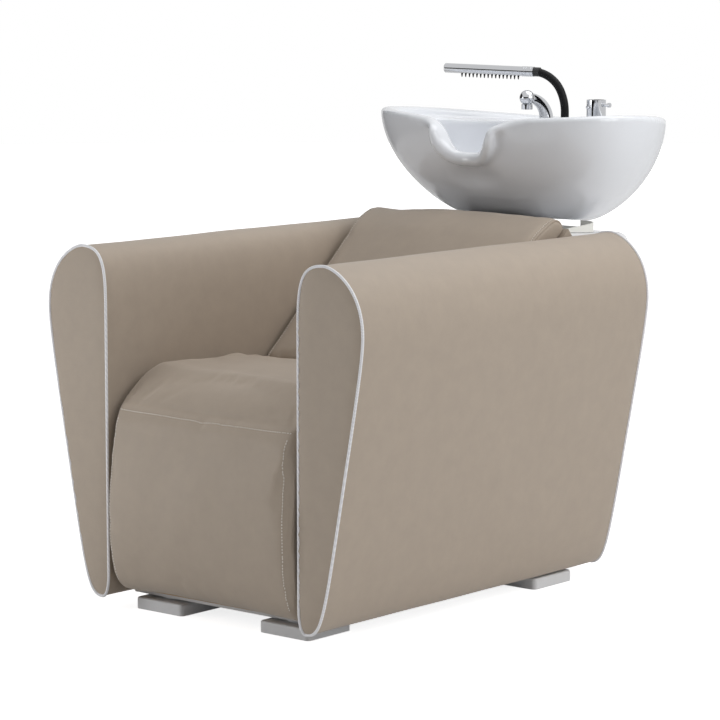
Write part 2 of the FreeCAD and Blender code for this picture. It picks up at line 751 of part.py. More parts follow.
def arm_pieces(side):
    """The pieces of one arm: board frame, padded cover, end panels and their piping."""
    frame_inset = mm.piping_proud + mm.arm_padding + mm.fit_gap
    panel_inset = mm.piping + mm.fit_gap
    cover_start = mm.piping + mm.fit_gap
    frame_start = cover_start + mm.fit_gap
    rear_start = mm.arm_length - mm.piping
    middle = mm.arm_length / 2.0
    hollow_inset = frame_inset + mm.arm_frame_wall
    frame = arm_slab(side, frame_inset, frame_start, mm.arm_length - frame_start)
    frame = frame.cut(arm_slab(side, hollow_inset, frame_start + mm.arm_rib, middle - mm.arm_rib / 2.0))
    frame = frame.cut(arm_slab(side, hollow_inset, middle + mm.arm_rib / 2.0,
                               mm.arm_length - frame_start - mm.arm_rib))
    frame = frame.cut(bolt_holes(side, hollow_inset))
    cover = arm_slab(side, mm.piping_proud, cover_start, mm.arm_length - cover_start)
    cover = cover.cut(arm_slab(side, frame_inset - mm.fit_gap, 0, mm.arm_length))
    cover = cover.cut(bolt_holes(side, frame_inset))
    piping_hollow = arm_slab(side, mm.piping, -mm.cut_overrun, mm.arm_length + mm.cut_overrun)
    return {
        "arm_frame": frame,
        "arm_upholstery": cover,
        "arm_front_piping": arm_slab(side, 0, 0, mm.piping).cut(piping_hollow),
        "arm_rear_piping": arm_slab(side, 0, rear_start, mm.arm_length).cut(piping_hollow),
        "arm_front_panel": arm_slab(side, panel_inset, mm.piping - mm.arm_panel, mm.piping),
        "arm_rear_panel": arm_slab(side, panel_inset, rear_start, rear_start + mm.arm_panel),
    }


for side, side_name in ((-1, "left"), (1, "right")):
    for name, shape in arm_pieces(side).items():
        shaped("%s_%s" % (name, side_name), shape, at(side * mm.arm_gap_half, 0, floor_gap))

# Seat box: plywood walls and top, open below, with holes for the arm bolts.
box_length = "sizes.box_rear - sizes.box_front"
box_width = "(sizes.arm_gap_half - sizes.fit_gap) * 2"
box_middle = (mm.box_front + mm.box_rear) / 2.0
box_height = "sizes.box_top - sizes.plate_top"
box_outer = block("seat_box_outer", box_width, box_length, box_height, at(0, box_middle, plate_top))
box_inner = block("seat_box_inner", box_width + " - sizes.board * 2", box_length + " - sizes.board * 2",
                  box_height + " - sizes.board", at(0, box_middle, plate_top))
wall_holes = [cylinder("seat_box_hole_%d" % number, "sizes.bolt_radius + sizes.bolt_hole_play",
                       "sizes.arm_gap_half * 2 + sizes.cut_overrun",
                       at(-mm.arm_gap_half - mm.cut_overrun / 2.0, depth, height,
                          Rotation(Vector(0, 1, 0), FULL_TURN / 4.0)))
              for number, (depth, height) in enumerate(bolt_places, start=1)]
keep(minus("seat_box", box_outer, box_inner, *wall_holes), "seat_box")

# Arm bolts: heads inside the seat box, shanks out through wall and padding into the arm frame.
arm_bolts = []
bolt_start = mm.arm_gap_half - mm.fit_gap - mm.board
bolt_length = ("sizes.board + sizes.fit_gap * 2 + sizes.piping_proud + sizes.arm_padding"
               " + sizes.arm_frame_wall")
for side in (-1, 1):
    for number, (depth, height) in enumerate(bolt_places, start=1):
        turn = Rotation(Vector(0, 1, 0), side * FULL_TURN / 4.0)
        name = "arm_bolt_%s_%d" % ("right" if side > 0 else "left", number)
        shank = cylinder(name + "_shank", "sizes.bolt_radius", bolt_length,
                         at(side * bolt_start, depth, height, turn))
        head = cylinder(name + "_head", "sizes.bolt_head_radius", "sizes.bolt_head_height",
                        at(side * (bolt_start - mm.bolt_head_height), depth, height, turn))
        arm_bolts.append(fused(name, shank, head))
bolts = doc.addObject("Part::Compound", "arm_bolts")
bolts.Links = arm_bolts
keep(bolts, "arm_bolts")


# Cushions: one side outline of lines and arcs, lofted across the width, crowned in the middle and
# drawn in towards both edges.
def outline_wire(x, spans):
    """A closed side outline at one width, from spans of two points (line) or three (arc)."""
    edges = []
    for span in spans:
        points = [Vector(x, depth, height) for depth, height in span]
        if len(points) == 2:
            edges.append(Part.LineSegment(points[0], points[1]).toShape())
        else:
            edges.append(Part.Arc(points[0], points[1], points[2]).toShape())
    return Part.Wire(edges)


def seat_spans(lift, draw):
    """Seat cushion from the side: rolled foot, front drop, rounded nose, slightly crowned top."""
    roll_start = (mm.seat_roll_start, mm.seat_front_low)
    roll = (mm.seat_roll_depth + draw, mm.seat_roll_height)
    low_front = (draw, mm.seat_front_foot)
    mid_front = (-mm.seat_front_bulge - lift + draw, (mm.seat_front_foot + mm.seat_front_top) / 2.0)
    top_front = (draw, mm.seat_front_top)
    corner = (mm.seat_corner_depth + draw, mm.seat_corner_height + lift - draw)
    nose = (mm.seat_nose_depth, mm.seat_nose_height + lift - draw)
    crest = (mm.seat_crest_depth, mm.seat_crest_height + lift - draw)
    rear = (mm.seat_rear_depth, mm.seat_rear_height - draw)
    heel = (mm.seat_heel_depth, mm.box_top + mm.fit_gap)
    inner_top = (mm.box_front - mm.fit_gap, mm.box_top + mm.fit_gap)
    inner_low = (mm.box_front - mm.fit_gap, mm.seat_front_low)
    return [(roll_start, roll, low_front), (low_front, mid_front, top_front), (top_front, corner, nose),
            (nose, crest, rear), (rear, heel), (heel, inner_top), (inner_top, inner_low),
            (inner_low, roll_start)]


def along_back(distance, offset):
    """A point on the backrest's slope, counted from its foot and back from its face."""
    slope = math.radians(mm.back_slope)
    return (mm.back_start_depth + distance * math.cos(slope) + offset * math.sin(slope),
            mm.back_start_height + distance * math.sin(slope) - offset * math.cos(slope))


def back_spans(lift, draw):
    """Back cushion from the side: sloping face, rounded shoulder and nape, flat back."""
    slope = math.radians(mm.back_slope)
    rise = lift - draw

    def raised(depth, height, share):
        return (depth - rise * share * math.sin(slope), height + rise * share * math.cos(slope))

    foot = along_back(0, draw)
    belly = along_back(mm.back_face_length / 2.0, -rise)
    face_end = along_back(mm.back_face_length, draw - lift * BACK_EDGE_SHARE)
    shoulder = raised(mm.back_shoulder_depth, mm.back_shoulder_height, SHOULDER_RISE_SHARE)
    top = (mm.back_top_depth, mm.back_top_height - draw * BACK_EDGE_SHARE)
    nape = (mm.back_nape_depth, mm.back_nape_height - draw * BACK_EDGE_SHARE)
    rear_top = along_back(mm.back_rear_length, mm.back_cushion_thickness)
    rear_foot = along_back(0, mm.back_cushion_thickness)
    return [(foot, belly, face_end), (face_end, shoulder, top), (top, nape, rear_top),
            (rear_top, rear_foot), (rear_foot, foot)]


def cushion(spans, half_width, crown, edge_draw):
    """A soft closed solid through side outlines across the width, with rounded edges."""
    wires = []
    stations = [-share for share in HALF_STATION_SHARES[:0:-1]] + list(HALF_STATION_SHARES)
    for station in stations:
        lift = crown * max(1.0 - station * station, LEAST_LIFT_SHARE)
        into_edge = max(abs(station) - 1.0 + EDGE_ROUND_SHARE, 0.0) / EDGE_ROUND_SHARE
        draw = edge_draw * (1.0 - math.sqrt(1.0 - into_edge * into_edge))
        wires.append(outline_wire(station * half_width, spans(lift, draw)))
    return Part.makeLoft(wires, True, False)


shaped("seat_cushion", cushion(seat_spans, mm.seat_half_width, mm.seat_crown, mm.seat_edge_draw),
       at(0, 0, 0))
shaped("back_cushion", cushion(back_spans, mm.back_half_width, mm.back_crown, mm.back_edge_draw),
       at(0, 0, 0))

# Back board and rear panel: flat sheets on the same slope behind the cushion.
back_turn = Rotation(Vector(1, 0, 0), mm.back_slope)
board_width = "sizes.back_half_width * 2"
board_offset = mm.back_cushion_thickness + mm.fit_gap + mm.back_board_thickness
board_foot = along_back(mm.back_board_start, board_offset)
half_board = "sizes.back_half_width"
back_board = padded_body("back_board", "XY_Plane",
                         [("-" + half_board, "0"), (half_board, "0"),
                          (half_board, "sizes.back_board_length"),
                          ("-" + half_board, "sizes.back_board_length")],
                         "sizes.back_board_thickness")
keep(back_board, "back_board", at(0, board_foot[0], board_foot[1], back_turn))
panel_offset = board_offset + mm.back_panel_thickness
panel_foot = along_back(mm.back_board_start, panel_offset)
back_panel = padded_body("back_panel", "XY_Plane",
                         [("-" + half_board, "0"), (half_board, "0"),
                          (half_board, "sizes.back_board_length"),
                          ("-" + half_board, "sizes.back_board_length")],
                         "sizes.back_panel_thickness")
keep(back_panel, "back_panel", at(0, panel_foot[0], panel_foot[1], back_turn))


# Back brackets: two plywood gussets from the base plate up to the sloping panel.
def slope_height(depth, offset):
    """Height of the sloping plane at a depth, set back by an offset from the cushion's face."""
    slope = math.radians(mm.back_slope)
    start = along_back(0, offset)
    return start[1] + (depth - start[0]) * math.tan(slope)


bracket_offset = panel_offset + mm.fit_gap
bracket_front = mm.box_rear + mm.fit_gap
bracket_outline = [
    (bracket_front, plate_top),
    (mm.bracket_rear, plate_top),
    (mm.bracket_rear, slope_height(mm.bracket_rear, bracket_offset)),
    (bracket_front, slope_height(bracket_front, bracket_offset)),
]
for side, label in ((-1, "back_bracket_left"), (1, "back_bracket_right")):
    shape = prism(bracket_outline, -mm.board / 2.0, mm.board / 2.0)
    shaped(label, shape, at(side * mm.bracket_out, 0, 0))

# Column: square steel tube on a flange, standing on the rear of the base plate.
column_height = "sizes.bracket_level - sizes.plate_top"
column_place = at(0, mm.column_centre, plate_top)
flange_width = "sizes.column_width + sizes.column_flange_edge * 2"
flange_depth = "sizes.column_depth + sizes.column_flange_edge * 2"
column_solid = fused(
    "column_solid",
    block("column_tube", "sizes.column_width", "sizes.column_depth", column_height, column_place),
    block("column_flange_plate", flange_width, flange_depth, "sizes.column_flange", column_place))
column_bore = block("column_bore", "sizes.column_width - sizes.column_wall * 2",
                    "sizes.column_depth - sizes.column_wall * 2", column_height, column_place)
keep(minus("support_column", column_solid, column_bore), "support_column")


# Tilt bracket: top plate with two upright ears that hold the pivot pin.
def ear(x_from, thickness, foot_points, hole_radius):
    """A flat ear with a round end about the pivot, and its hole."""
    pivot = Vector(x_from, mm.pivot_depth, mm.pivot_height)
    round_end = Part.makeCylinder(mm.ear_radius, thickness, pivot, Vector(1, 0, 0))
    leg = prism(foot_points, x_from, x_from + thickness)
    hole = Part.makeCylinder(hole_radius, thickness + mm.cut_overrun,
                             pivot - Vector(mm.cut_overrun / 2.0, 0, 0), Vector(1, 0, 0))
    return leg.fuse(round_end).removeSplitter().cut(hole)


plate_level = mm.bracket_level + mm.bracket_plate
ear_foot = [(mm.pivot_depth - mm.ear_radius, plate_level), (mm.pivot_depth + mm.ear_radius, plate_level),
            (mm.pivot_depth + mm.ear_radius, mm.pivot_height),
            (mm.pivot_depth - mm.ear_radius, mm.pivot_height)]
plate_front = mm.column_centre - mm.column_depth / 2.0
top_plate = Part.makeBox(mm.column_width, mm.pivot_depth + mm.column_depth / 2.0 - plate_front,
                         mm.bracket_plate, Vector(-mm.column_width / 2.0, plate_front, mm.bracket_level))
bracket = top_plate
for x_from in (-mm.ear_gap_half - mm.ear_thickness, mm.ear_gap_half):
    bracket = bracket.fuse(ear(x_from, mm.ear_thickness, ear_foot, mm.pin_radius))
shaped("tilt_bracket", bracket.removeSplitter(), at(0, 0, 0))

# Pivot pin and its two nuts.
saddle_ear_start = mm.ear_gap_half + mm.ear_thickness + mm.fit_gap
saddle_ear_end = saddle_ear_start + mm.ear_thickness
pin_half = saddle_ear_end + mm.fit_gap + mm.nut_height + mm.pin_end
side_turn = Rotation(Vector(0, 1, 0), FULL_TURN / 4.0)
pin_length = ("(sizes.ear_gap_half + sizes.ear_thickness * 2 + sizes.fit_gap * 2"
              " + sizes.nut_height + sizes.pin_end) * 2")
pin = cylinder("tilt_pin", "sizes.pin_radius", pin_length,
               at(-pin_half, mm.pivot_depth, mm.pivot_height, side_turn))
keep(pin, "tilt_pin")
HEX_CORNERS = 6


def hex_nut(radius, height, bore):
    """A six-sided nut standing on its own origin."""
    corners = [Vector(radius * math.cos(math.radians(FULL_TURN * step / HEX_CORNERS)),
                      radius * math.sin(math.radians(FULL_TURN * step / HEX_CORNERS)), 0)
               for step in range(HEX_CORNERS + 1)]
    nut = Part.Face(Part.makePolygon(corners)).extrude(Vector(0, 0, height))
    return nut.cut(Part.makeCylinder(bore, height))


nuts = []
for x_from in (-saddle_ear_end - mm.fit_gap - mm.nut_height, saddle_ear_end + mm.fit_gap):
    nut = hex_nut(mm.nut_radius, mm.nut_height, mm.pin_radius)
    nut.Placement = Placement(Vector(x_from, mm.pivot_depth, mm.pivot_height), side_turn)
    nuts.append(nut)
shaped("tilt_pin_nuts", Part.makeCompound(nuts), at(0, 0, 0))


# Bowl: rings from the low ring up the outside, over the rim and down the inside.
def rim_point(angle, half_width, front_reach, rear_reach):
    """A point of the egg-shaped outline, from the egg's centre."""
    across = math.cos(angle)
    back = math.sin(angle)
    power = RIM_REAR_POWER if back > 0 else RIM_FRONT_POWER
    x = math.copysign(abs(across) ** (2.0 / power), across) * half_width
    reach = rear_reach if back > 0 else front_reach
    return x, math.copysign(abs(back) ** (2.0 / power), back) * reach


def rim_level(x, depth):
    """Height of the rim's crest, which tips to the rear and rises to both sides."""
    return (mm.rim_centre_height - RIM_PITCH_SHARE * (depth - mm.rim_centre_depth)
            + mm.rim_side_rise * (x / mm.rim_half_width) ** 2)


def deck_plane(depth):
    """Height of the flat deck behind the bowl."""
    return (mm.rim_centre_height - RIM_PITCH_SHARE * (depth - mm.rim_centre_depth) - mm.deck_recess)


def low_level(depth):
    """Height of the bowl's flat underside."""
    return mm.rim_centre_height - mm.bowl_depth - LOW_PITCH_SHARE * (depth - mm.rim_centre_depth)


def notch_share(x):
    """How far the neck notch is open at a width: one in the middle, half at its half width."""
    return 1.0 / (1.0 + (x / mm.notch_half_width) ** NOTCH_POWER)


def notched(x, depth, height, level):
    """Presses a wall down and out into the neck notch, by its height below the rim's level."""
    if depth > mm.rim_centre_depth:
        return Vector(x, depth, height)
    share = notch_share(x)
    reach = min(max((height - level + mm.notch_root) / mm.notch_root, 0.0), 1.0)
    swell = min(max((reach - LIP_START_SHARE) / (1.0 - LIP_START_SHARE), 0.0), 1.0)
    swell = swell * swell * (3.0 - 2.0 * swell)
    return Vector(x, depth - mm.notch_lip * share * swell, height - mm.notch_drop * share * reach)


def lip_drop(x, depth, inset, drop):
    """Height lost over the rim's roll, which grows rounder in the notch."""
    if depth > mm.rim_centre_depth or inset >= mm.notch_round:
        return drop
    rounder = mm.notch_round - math.sqrt(mm.notch_round ** 2 - (mm.notch_round - inset) ** 2)
    return drop + (rounder - drop) * notch_share(x)


def ring_angles():
    """Angles round the rim, closer together at the neck notch, symmetric about the middle."""
    front = [-math.acos(share ** (RIM_FRONT_POWER / 2.0)) for share in NOTCH_SIDE_SHARES]
    rear = [math.pi / 2.0 * share for share in REAR_ANGLE_SHARES]
    right = front + rear
    left = [-math.pi - angle for angle in front[1:-1]]
    left += [math.pi - angle for angle in front[-1:] + rear[:-1]]
    return right + left[::-1]


def ring_wire(points):
    """A smooth closed curve through one ring of points, all rings being paced alike."""
    curve = Part.BSplineCurve()
    curve.interpolate(points, PeriodicFlag=True, Parameters=ring_pace())
    return Part.Wire(curve.toShape())


def ring_pace():
    """Distances along the rim at which the points of every ring come."""
    points = [Vector(*rim_point(angle, mm.rim_half_width, mm.rim_front_reach, mm.rim_rear_reach), 0)
              for angle in ring_angles()]
    pace = [0.0]
    for start, end in zip(points, points[1:] + points[:1]):
        pace.append(pace[-1] + start.distanceToPoint(end))
    return pace


def outer_ring(share, inset=0.0):
    """A ring of the outer wall: share zero at the rim, one at the low ring."""
    points = []
    for angle in ring_angles():
        x, back = rim_point(angle, mm.rim_half_width - inset, mm.rim_front_reach - inset,
                            mm.rim_rear_reach - inset)
        level = rim_level(x, mm.rim_centre_depth + back)
        front_weight = max(-math.sin(angle), 0.0) ** 2
        rear_weight = max(math.sin(angle), 0.0) ** 2
        power = (front_weight * WALL_POWERS["front"] + rear_weight * WALL_POWERS["rear"]
                 + (1.0 - front_weight - rear_weight) * WALL_POWERS["side"])
        shrink = 1.0 - (1.0 - LOW_RING_SHARE) * share
        fall = (1.0 - (1.0 - share) ** power) ** (1.0 / WALL_ROUNDNESS)
        depth = (mm.rim_centre_depth + back - mm.bowl_low_depth) * shrink + mm.bowl_low_depth
        height = level + (low_level(depth) + inset - level) * fall
        points.append(Vector(x * shrink, depth, height) if inset
                      else notched(x * shrink, depth, height, level))
    return points


def crest_ring(inset, drop):
    """A ring over the rim's rounded top."""
    points = []
    for angle in ring_angles():
        x, back = rim_point(angle, mm.rim_half_width - inset, mm.rim_front_reach - inset,
                            mm.rim_rear_reach - inset)
        depth = mm.rim_centre_depth + back
        level = rim_level(x, depth) - lip_drop(x, depth, inset, drop)
        points.append(notched(x, depth, level, level))
    return points


def inner_ring(share, outset=0.0):
    """A ring of the inner bowl: share zero at its upper edge, one at its floor."""
    points = []
    for angle in ring_angles():
        x, back = rim_point(angle, mm.rim_half_width - mm.bowl_side_inset + outset,
                            mm.rim_front_reach - mm.bowl_front_inset + outset,
                            mm.bowl_rear_reach + outset)
        top_depth = mm.rim_centre_depth + back
        rear_weight = max(math.sin(angle), 0.0) ** 2
        side_level = rim_level(x, top_depth) - mm.bowl_inner_drop
        level = side_level + (deck_plane(top_depth) - side_level) * rear_weight
        shrink = 1.0 - (1.0 - INNER_LOW_RING_SHARE) * share
        fall = (1.0 - (1.0 - share) ** INNER_POWER) ** (1.0 / WALL_ROUNDNESS)
        depth = (top_depth - mm.bowl_inner_low) * shrink + mm.bowl_inner_low
        if outset:
            level = deck_plane(top_depth)
        height = level + (low_level(depth) + mm.bowl_floor - outset - level) * fall
        points.append(Vector(x * shrink, depth, height) if outset
                      else notched(x * shrink, depth, height, level))
    return points


def deck_ring():
    """The ring where the rim's inner slope meets the deck."""
    points = []
    for angle in ring_angles():
        x, back = rim_point(angle, mm.rim_half_width - mm.rim_width, mm.rim_front_reach - mm.rim_width,
                            mm.rim_rear_reach - mm.rim_width)
        depth = mm.rim_centre_depth + back
        rear_weight = max(math.sin(angle), 0.0)
        side_level = rim_level(x, depth) - mm.bowl_inner_drop * DECK_EDGE_SHARE
        level = side_level + (deck_plane(depth) - side_level) * min(rear_weight / DECK_REACH_SHARE, 1.0)
        points.append(notched(x, depth, level, level))
    return points


def facing(face, upward):
    """A flat face turned so that it looks up (1) or down (-1)."""
    return face if face.normalAt(0, 0).z * upward > 0 else face.reversed()


def cavity_rings():
    """Rings of the hollow under the deck: the outer wall drawn in by its thickness, flat on top."""
    rings = [outer_ring(share, mm.bowl_wall) for share in CAVITY_RING_SHARES]
    rings.append([Vector(point.x, point.y, deck_plane(point.y) - mm.deck_thickness)
                  for point in rings[-1]])
    return rings


def strip(rings):
    """A smooth surface through neighbouring rings."""
    return Part.makeLoft([ring_wire(points) for points in rings], False, False).Faces


outer_rings = [outer_ring(share) for share in OUTER_RING_SHARES]
roll_rings = [crest_ring(mm.rim_width * inset_share, mm.rim_round * drop_share)
              for inset_share, drop_share in RIM_ROLL] + [deck_ring()]
inner_rings = [inner_ring(share) for share in INNER_RING_SHARES]
bowl_faces = strip(outer_rings + roll_rings[:1])
bowl_faces += strip(roll_rings)
bowl_faces.append(Part.makeRuledSurface(ring_wire(roll_rings[-1]).Edges[0],
                                        ring_wire(inner_rings[0]).Edges[0]))
bowl_faces += strip(inner_rings)
bowl_faces += [facing(Part.Face(ring_wire(outer_rings[0])), -1),
               facing(Part.Face(ring_wire(inner_rings[-1])), 1)]
bowl_shell = Part.makeShell(bowl_faces)
bowl_shell.sewShape()
bowl = Part.makeSolid(bowl_shell)
if bowl.Volume < 0:
    bowl.reverse()

# The cast bowl is hollow behind its basin: a cavity under the deck, between outer and inner walls.
cavity = Part.makeLoft([ring_wire(points) for points in cavity_rings()], True, False)
behind = Part.makeBox(mm.rim_half_width * 2.0, mm.rim_rear_reach, mm.bowl_depth * 2.0,
                      Vector(-mm.rim_half_width, mm.cavity_front,
                             low_level(mm.cavity_front) - mm.bowl_depth / 2.0))
inner_wall = Part.makeLoft([ring_wire(inner_ring(share, mm.bowl_wall))
                            for share in INNER_RING_SHARES[::-1]], True, False)
cavity = cavity.common(behind).cut(inner_wall)
bowl = bowl.cut(cavity)

# Cuts in the bowl: service opening below the taps, tap holes, drain and saddle bolt holes.
TAP_PLACES = {"mixer": (mm.mixer_out, mm.mixer_shank_radius),
              "spout": (-mm.spout_out, mm.spout_shank_radius),
              "hose": (-mm.hose_out, mm.bush_shank_radius)}
hatch_level = low_level(mm.hatch_rear)
hatch_box = Part.makeBox(mm.hatch_half_width * 2.0, mm.hatch_rear - mm.hatch_front, mm.bowl_depth / 2.0,
                         Vector(-mm.hatch_half_width, mm.hatch_front, hatch_level - mm.cut_overrun))
upright_edges = [edge for edge in hatch_box.Edges
                 if abs(edge.tangentAt(edge.FirstParameter).z) > ALONG_SHARE]
bowl = bowl.cut(hatch_box.makeFillet(mm.hatch_corner, upright_edges))
for x, radius in TAP_PLACES.values():
    hole = Part.makeCylinder(radius + mm.bolt_hole_play, mm.cut_overrun * 2.0,
                             Vector(x, mm.tap_depth, deck_level - mm.cut_overrun))
    face_cut = Part.makeCylinder(mm.seat_face_radius, mm.cut_overrun,
                                 Vector(x, mm.tap_depth, deck_level))
    nut_face = Part.makeCylinder(mm.tap_nut_radius + mm.fit_gap, mm.nut_height,
                                 Vector(x, mm.tap_depth, deck_level - mm.deck_thickness - mm.nut_height))
    bowl = bowl.cut(hole).cut(face_cut).cut(nut_face)
low_turn = Rotation(Vector(1, 0, 0), -low_pitch)
drain_place = Placement(Vector(0, mm.drain_depth, low_level(mm.drain_depth)), low_turn)
waste_outer = mm.waste_bore + mm.waste_wall
drain_hole = Part.makeCylinder(waste_outer + mm.bolt_hole_play, mm.bowl_floor + mm.cut_overrun,
                               Vector(0, 0, -mm.cut_overrun / 2.0))
drain_hole.Placement = drain_place
drain_seat = Part.makeCylinder(mm.waste_flange_radius + mm.fit_gap, mm.cut_overrun,
                               Vector(0, 0, mm.bowl_floor - mm.fit_gap))
drain_seat.Placement = drain_place
bowl = bowl.cut(drain_hole).cut(drain_seat)
saddle_bolts = [(side * mm.saddle_bolt_out, depth) for side in (-1, 1)
                for depth in (mm.saddle_bolt_front, mm.saddle_bolt_rear)]
for x, depth in saddle_bolts:
    hole = Part.makeCylinder(mm.bolt_radius + mm.bolt_hole_play, mm.saddle_bolt_grip * 2.0,
                             Vector(0, 0, -mm.saddle_bolt_grip))
    hole.Placement = Placement(Vector(x, depth, low_level(depth)), low_turn)
    bowl = bowl.cut(hole)
shaped("basin", bowl, at(0, 0, 0))

# Saddle: a steel plate on the bowl's flat underside, with an ear down to each end of the pin.
saddle_top = [(mm.saddle_front, low_level(mm.saddle_front) - mm.fit_gap),
              (mm.saddle_rear, low_level(mm.saddle_rear) - mm.fit_gap)]
saddle_low = [(depth, height - mm.saddle_thickness) for depth, height in saddle_top[::-1]]
saddle = prism(saddle_top + saddle_low, -mm.saddle_half_width, mm.saddle_half_width)
saddle_ear_outline = [(mm.pivot_depth - mm.ear_radius, mm.pivot_height), saddle_low[1],
                      saddle_low[0], (mm.pivot_depth + mm.ear_radius, mm.pivot_height)]
for x_from in (-saddle_ear_end, saddle_ear_start):
    saddle = saddle.fuse(ear(x_from, mm.ear_thickness, saddle_ear_outline, mm.pin_radius + mm.pin_play))
for x, depth in saddle_bolts:
    hole = Part.makeCylinder(mm.bolt_radius + mm.bolt_hole_play, mm.cut_overrun,
                             Vector(0, 0, -mm.cut_overrun))
    hole.Placement = Placement(Vector(x, depth, low_level(depth)), low_turn)
    saddle = saddle.cut(hole)
shaped("basin_saddle", saddle.removeSplitter(), at(0, 0, 0))
bolt_group = []
for x, depth in saddle_bolts:
    shank = Part.makeCylinder(mm.bolt_radius, mm.saddle_bolt_grip + mm.saddle_thickness,
                              Vector(0, 0, -mm.saddle_thickness - mm.fit_gap - mm.bolt_hole_play))
    head = Part.makeCylinder(mm.bolt_head_radius, mm.screw_head_height,
                             Vector(0, 0, -mm.saddle_thickness - mm.fit_gap - mm.bolt_hole_play
                                    - mm.screw_head_height))
    bolt = shank.fuse(head)
    bolt.Placement = Placement(Vector(x, depth, low_level(depth)), low_turn)
    bolt_group.append(bolt)
shaped("saddle_bolts", Part.makeCompound(bolt_group), at(0, 0, 0))

# Waste: flanged body in the floor, nut below, tail and bottle trap, and a lift-out strainer.
waste_place = at(0, mm.drain_depth, low_level(mm.drain_depth), low_turn)
floor_seat = "(sizes.bowl_floor - sizes.fit_gap)"
bore = "sizes.waste_bore"
tube = "(sizes.waste_bore + sizes.waste_wall)"
rim = "sizes.waste_flange_radius"
waste = turned_body("waste_body", [
    (bore, "-sizes.waste_length + " + floor_seat),
    (tube, "-sizes.waste_length + " + floor_seat),
    (tube, floor_seat),
    (rim, floor_seat),
    (rim, floor_seat + " + sizes.waste_flange_height"),
    ("sizes.strainer_radius + sizes.fit_gap", floor_seat + " + sizes.waste_flange_height"),
    ("sizes.strainer_radius + sizes.fit_gap", floor_seat + " + sizes.waste_ledge"),
    (bore, floor_seat + " + sizes.waste_ledge"),
])
keep(waste, "waste_body", waste_place)
nut_low = "(-sizes.waste_nut_height - sizes.fit_gap)"
nut = turned_body("waste_nut", [
    (tube, nut_low), ("sizes.waste_nut_radius", nut_low), ("sizes.waste_nut_radius", "-sizes.fit_gap"),
    (tube, "-sizes.fit_gap")])
keep(nut, "waste_nut", waste_place)
tail_top = "(-sizes.waste_length + sizes.bowl_floor - sizes.fit_gap * 2)"
trap_top = "(" + tail_top + " - sizes.tail_length)"
trap_low = "(" + trap_top + " - sizes.trap_length)"
trap = turned_body("waste_trap", [
    (bore + " - sizes.waste_wall", tail_top), (tube, tail_top), (tube, trap_top),
    ("sizes.trap_radius", trap_top), ("sizes.trap_radius", trap_low),
    ("sizes.trap_outlet_radius", trap_low),
    ("sizes.trap_outlet_radius", trap_low + " - sizes.trap_outlet_length"),
    ("sizes.trap_outlet_radius - sizes.waste_wall", trap_low + " - sizes.trap_outlet_length"),
    ("sizes.trap_outlet_radius - sizes.waste_wall", trap_low + " + sizes.waste_wall"),
    (bore + " - sizes.waste_wall", trap_low + " + sizes.waste_wall")])
keep(trap, "waste_trap", waste_place)
lid_low = "(" + floor_seat + " + sizes.waste_ledge + sizes.fit_gap)"
lid_top = "(" + lid_low + " + sizes.strainer_height)"
strainer = turned_body("waste_strainer", [
    ("0", lid_low + " - sizes.strainer_stem"),
    ("sizes.strainer_stem_radius", lid_low + " - sizes.strainer_stem"),
    ("sizes.strainer_stem_radius", lid_low), ("sizes.strainer_radius", lid_low),
    ("sizes.strainer_radius", lid_top), ("sizes.strainer_knob", lid_top),
    ("sizes.strainer_knob", lid_top + " + sizes.strainer_knob"), ("0", lid_top + " + sizes.strainer_knob")])
doc.recompute()
hole_sketch = circle_sketch(strainer, "XY_Plane", [
    ("sizes.strainer_ring", "0", "sizes.strainer_hole")], "strainer_hole_outline")
strainer_hole = strainer.newObject("PartDesign::Pocket", "strainer_first_hole")
strainer_hole.Profile = hole_sketch
strainer_hole.setExpression("Length", "sizes.cut_overrun * 2")
strainer_hole.Midplane = True
strainer.Tip = strainer_hole
doc.recompute()
hole_ring = strainer.newObject("PartDesign::PolarPattern", "strainer_hole_ring")
hole_ring.Originals = [strainer_hole]
hole_ring.Axis = (hole_sketch, ["N_Axis"])
hole_ring.Angle = FULL_TURN
hole_ring.Occurrences = STRAINER_HOLES
strainer.Tip = hole_ring
keep(strainer, "waste_strainer", waste_place)

# Mixer: turned body clamped through the deck, a rotating handle with its pin lever and dark cap.
mixer_place = at(mm.mixer_out, mm.tap_depth, deck_level)
shank = "sizes.mixer_shank_radius"
mixer_body = turned_body("mixer_body", [
    ("0", "-sizes.shank_length"), (shank, "-sizes.shank_length"), (shank, "0"),
    ("sizes.mixer_foot_radius", "0"), ("sizes.mixer_foot_radius", "sizes.mixer_foot_height"),
    ("sizes.mixer_spindle_radius", "sizes.mixer_foot_height"),
    ("sizes.mixer_spindle_radius", "sizes.mixer_foot_height + sizes.mixer_spindle_height"),
    ("0", "sizes.mixer_foot_height + sizes.mixer_spindle_height")])
keep(mixer_body, "mixer_body", mixer_place)


def tap_nut(label, shank_radius, place):
    """A round lock nut under the deck."""
    low = "(-sizes.deck_thickness - sizes.fit_gap - sizes.tap_nut_height)"
    top = "(-sizes.deck_thickness - sizes.fit_gap)"
    nut_body = turned_body(label, [(shank_radius, low), ("sizes.tap_nut_radius", low),
                                   ("sizes.tap_nut_radius", top), (shank_radius, top)])
    return keep(nut_body, label, place)


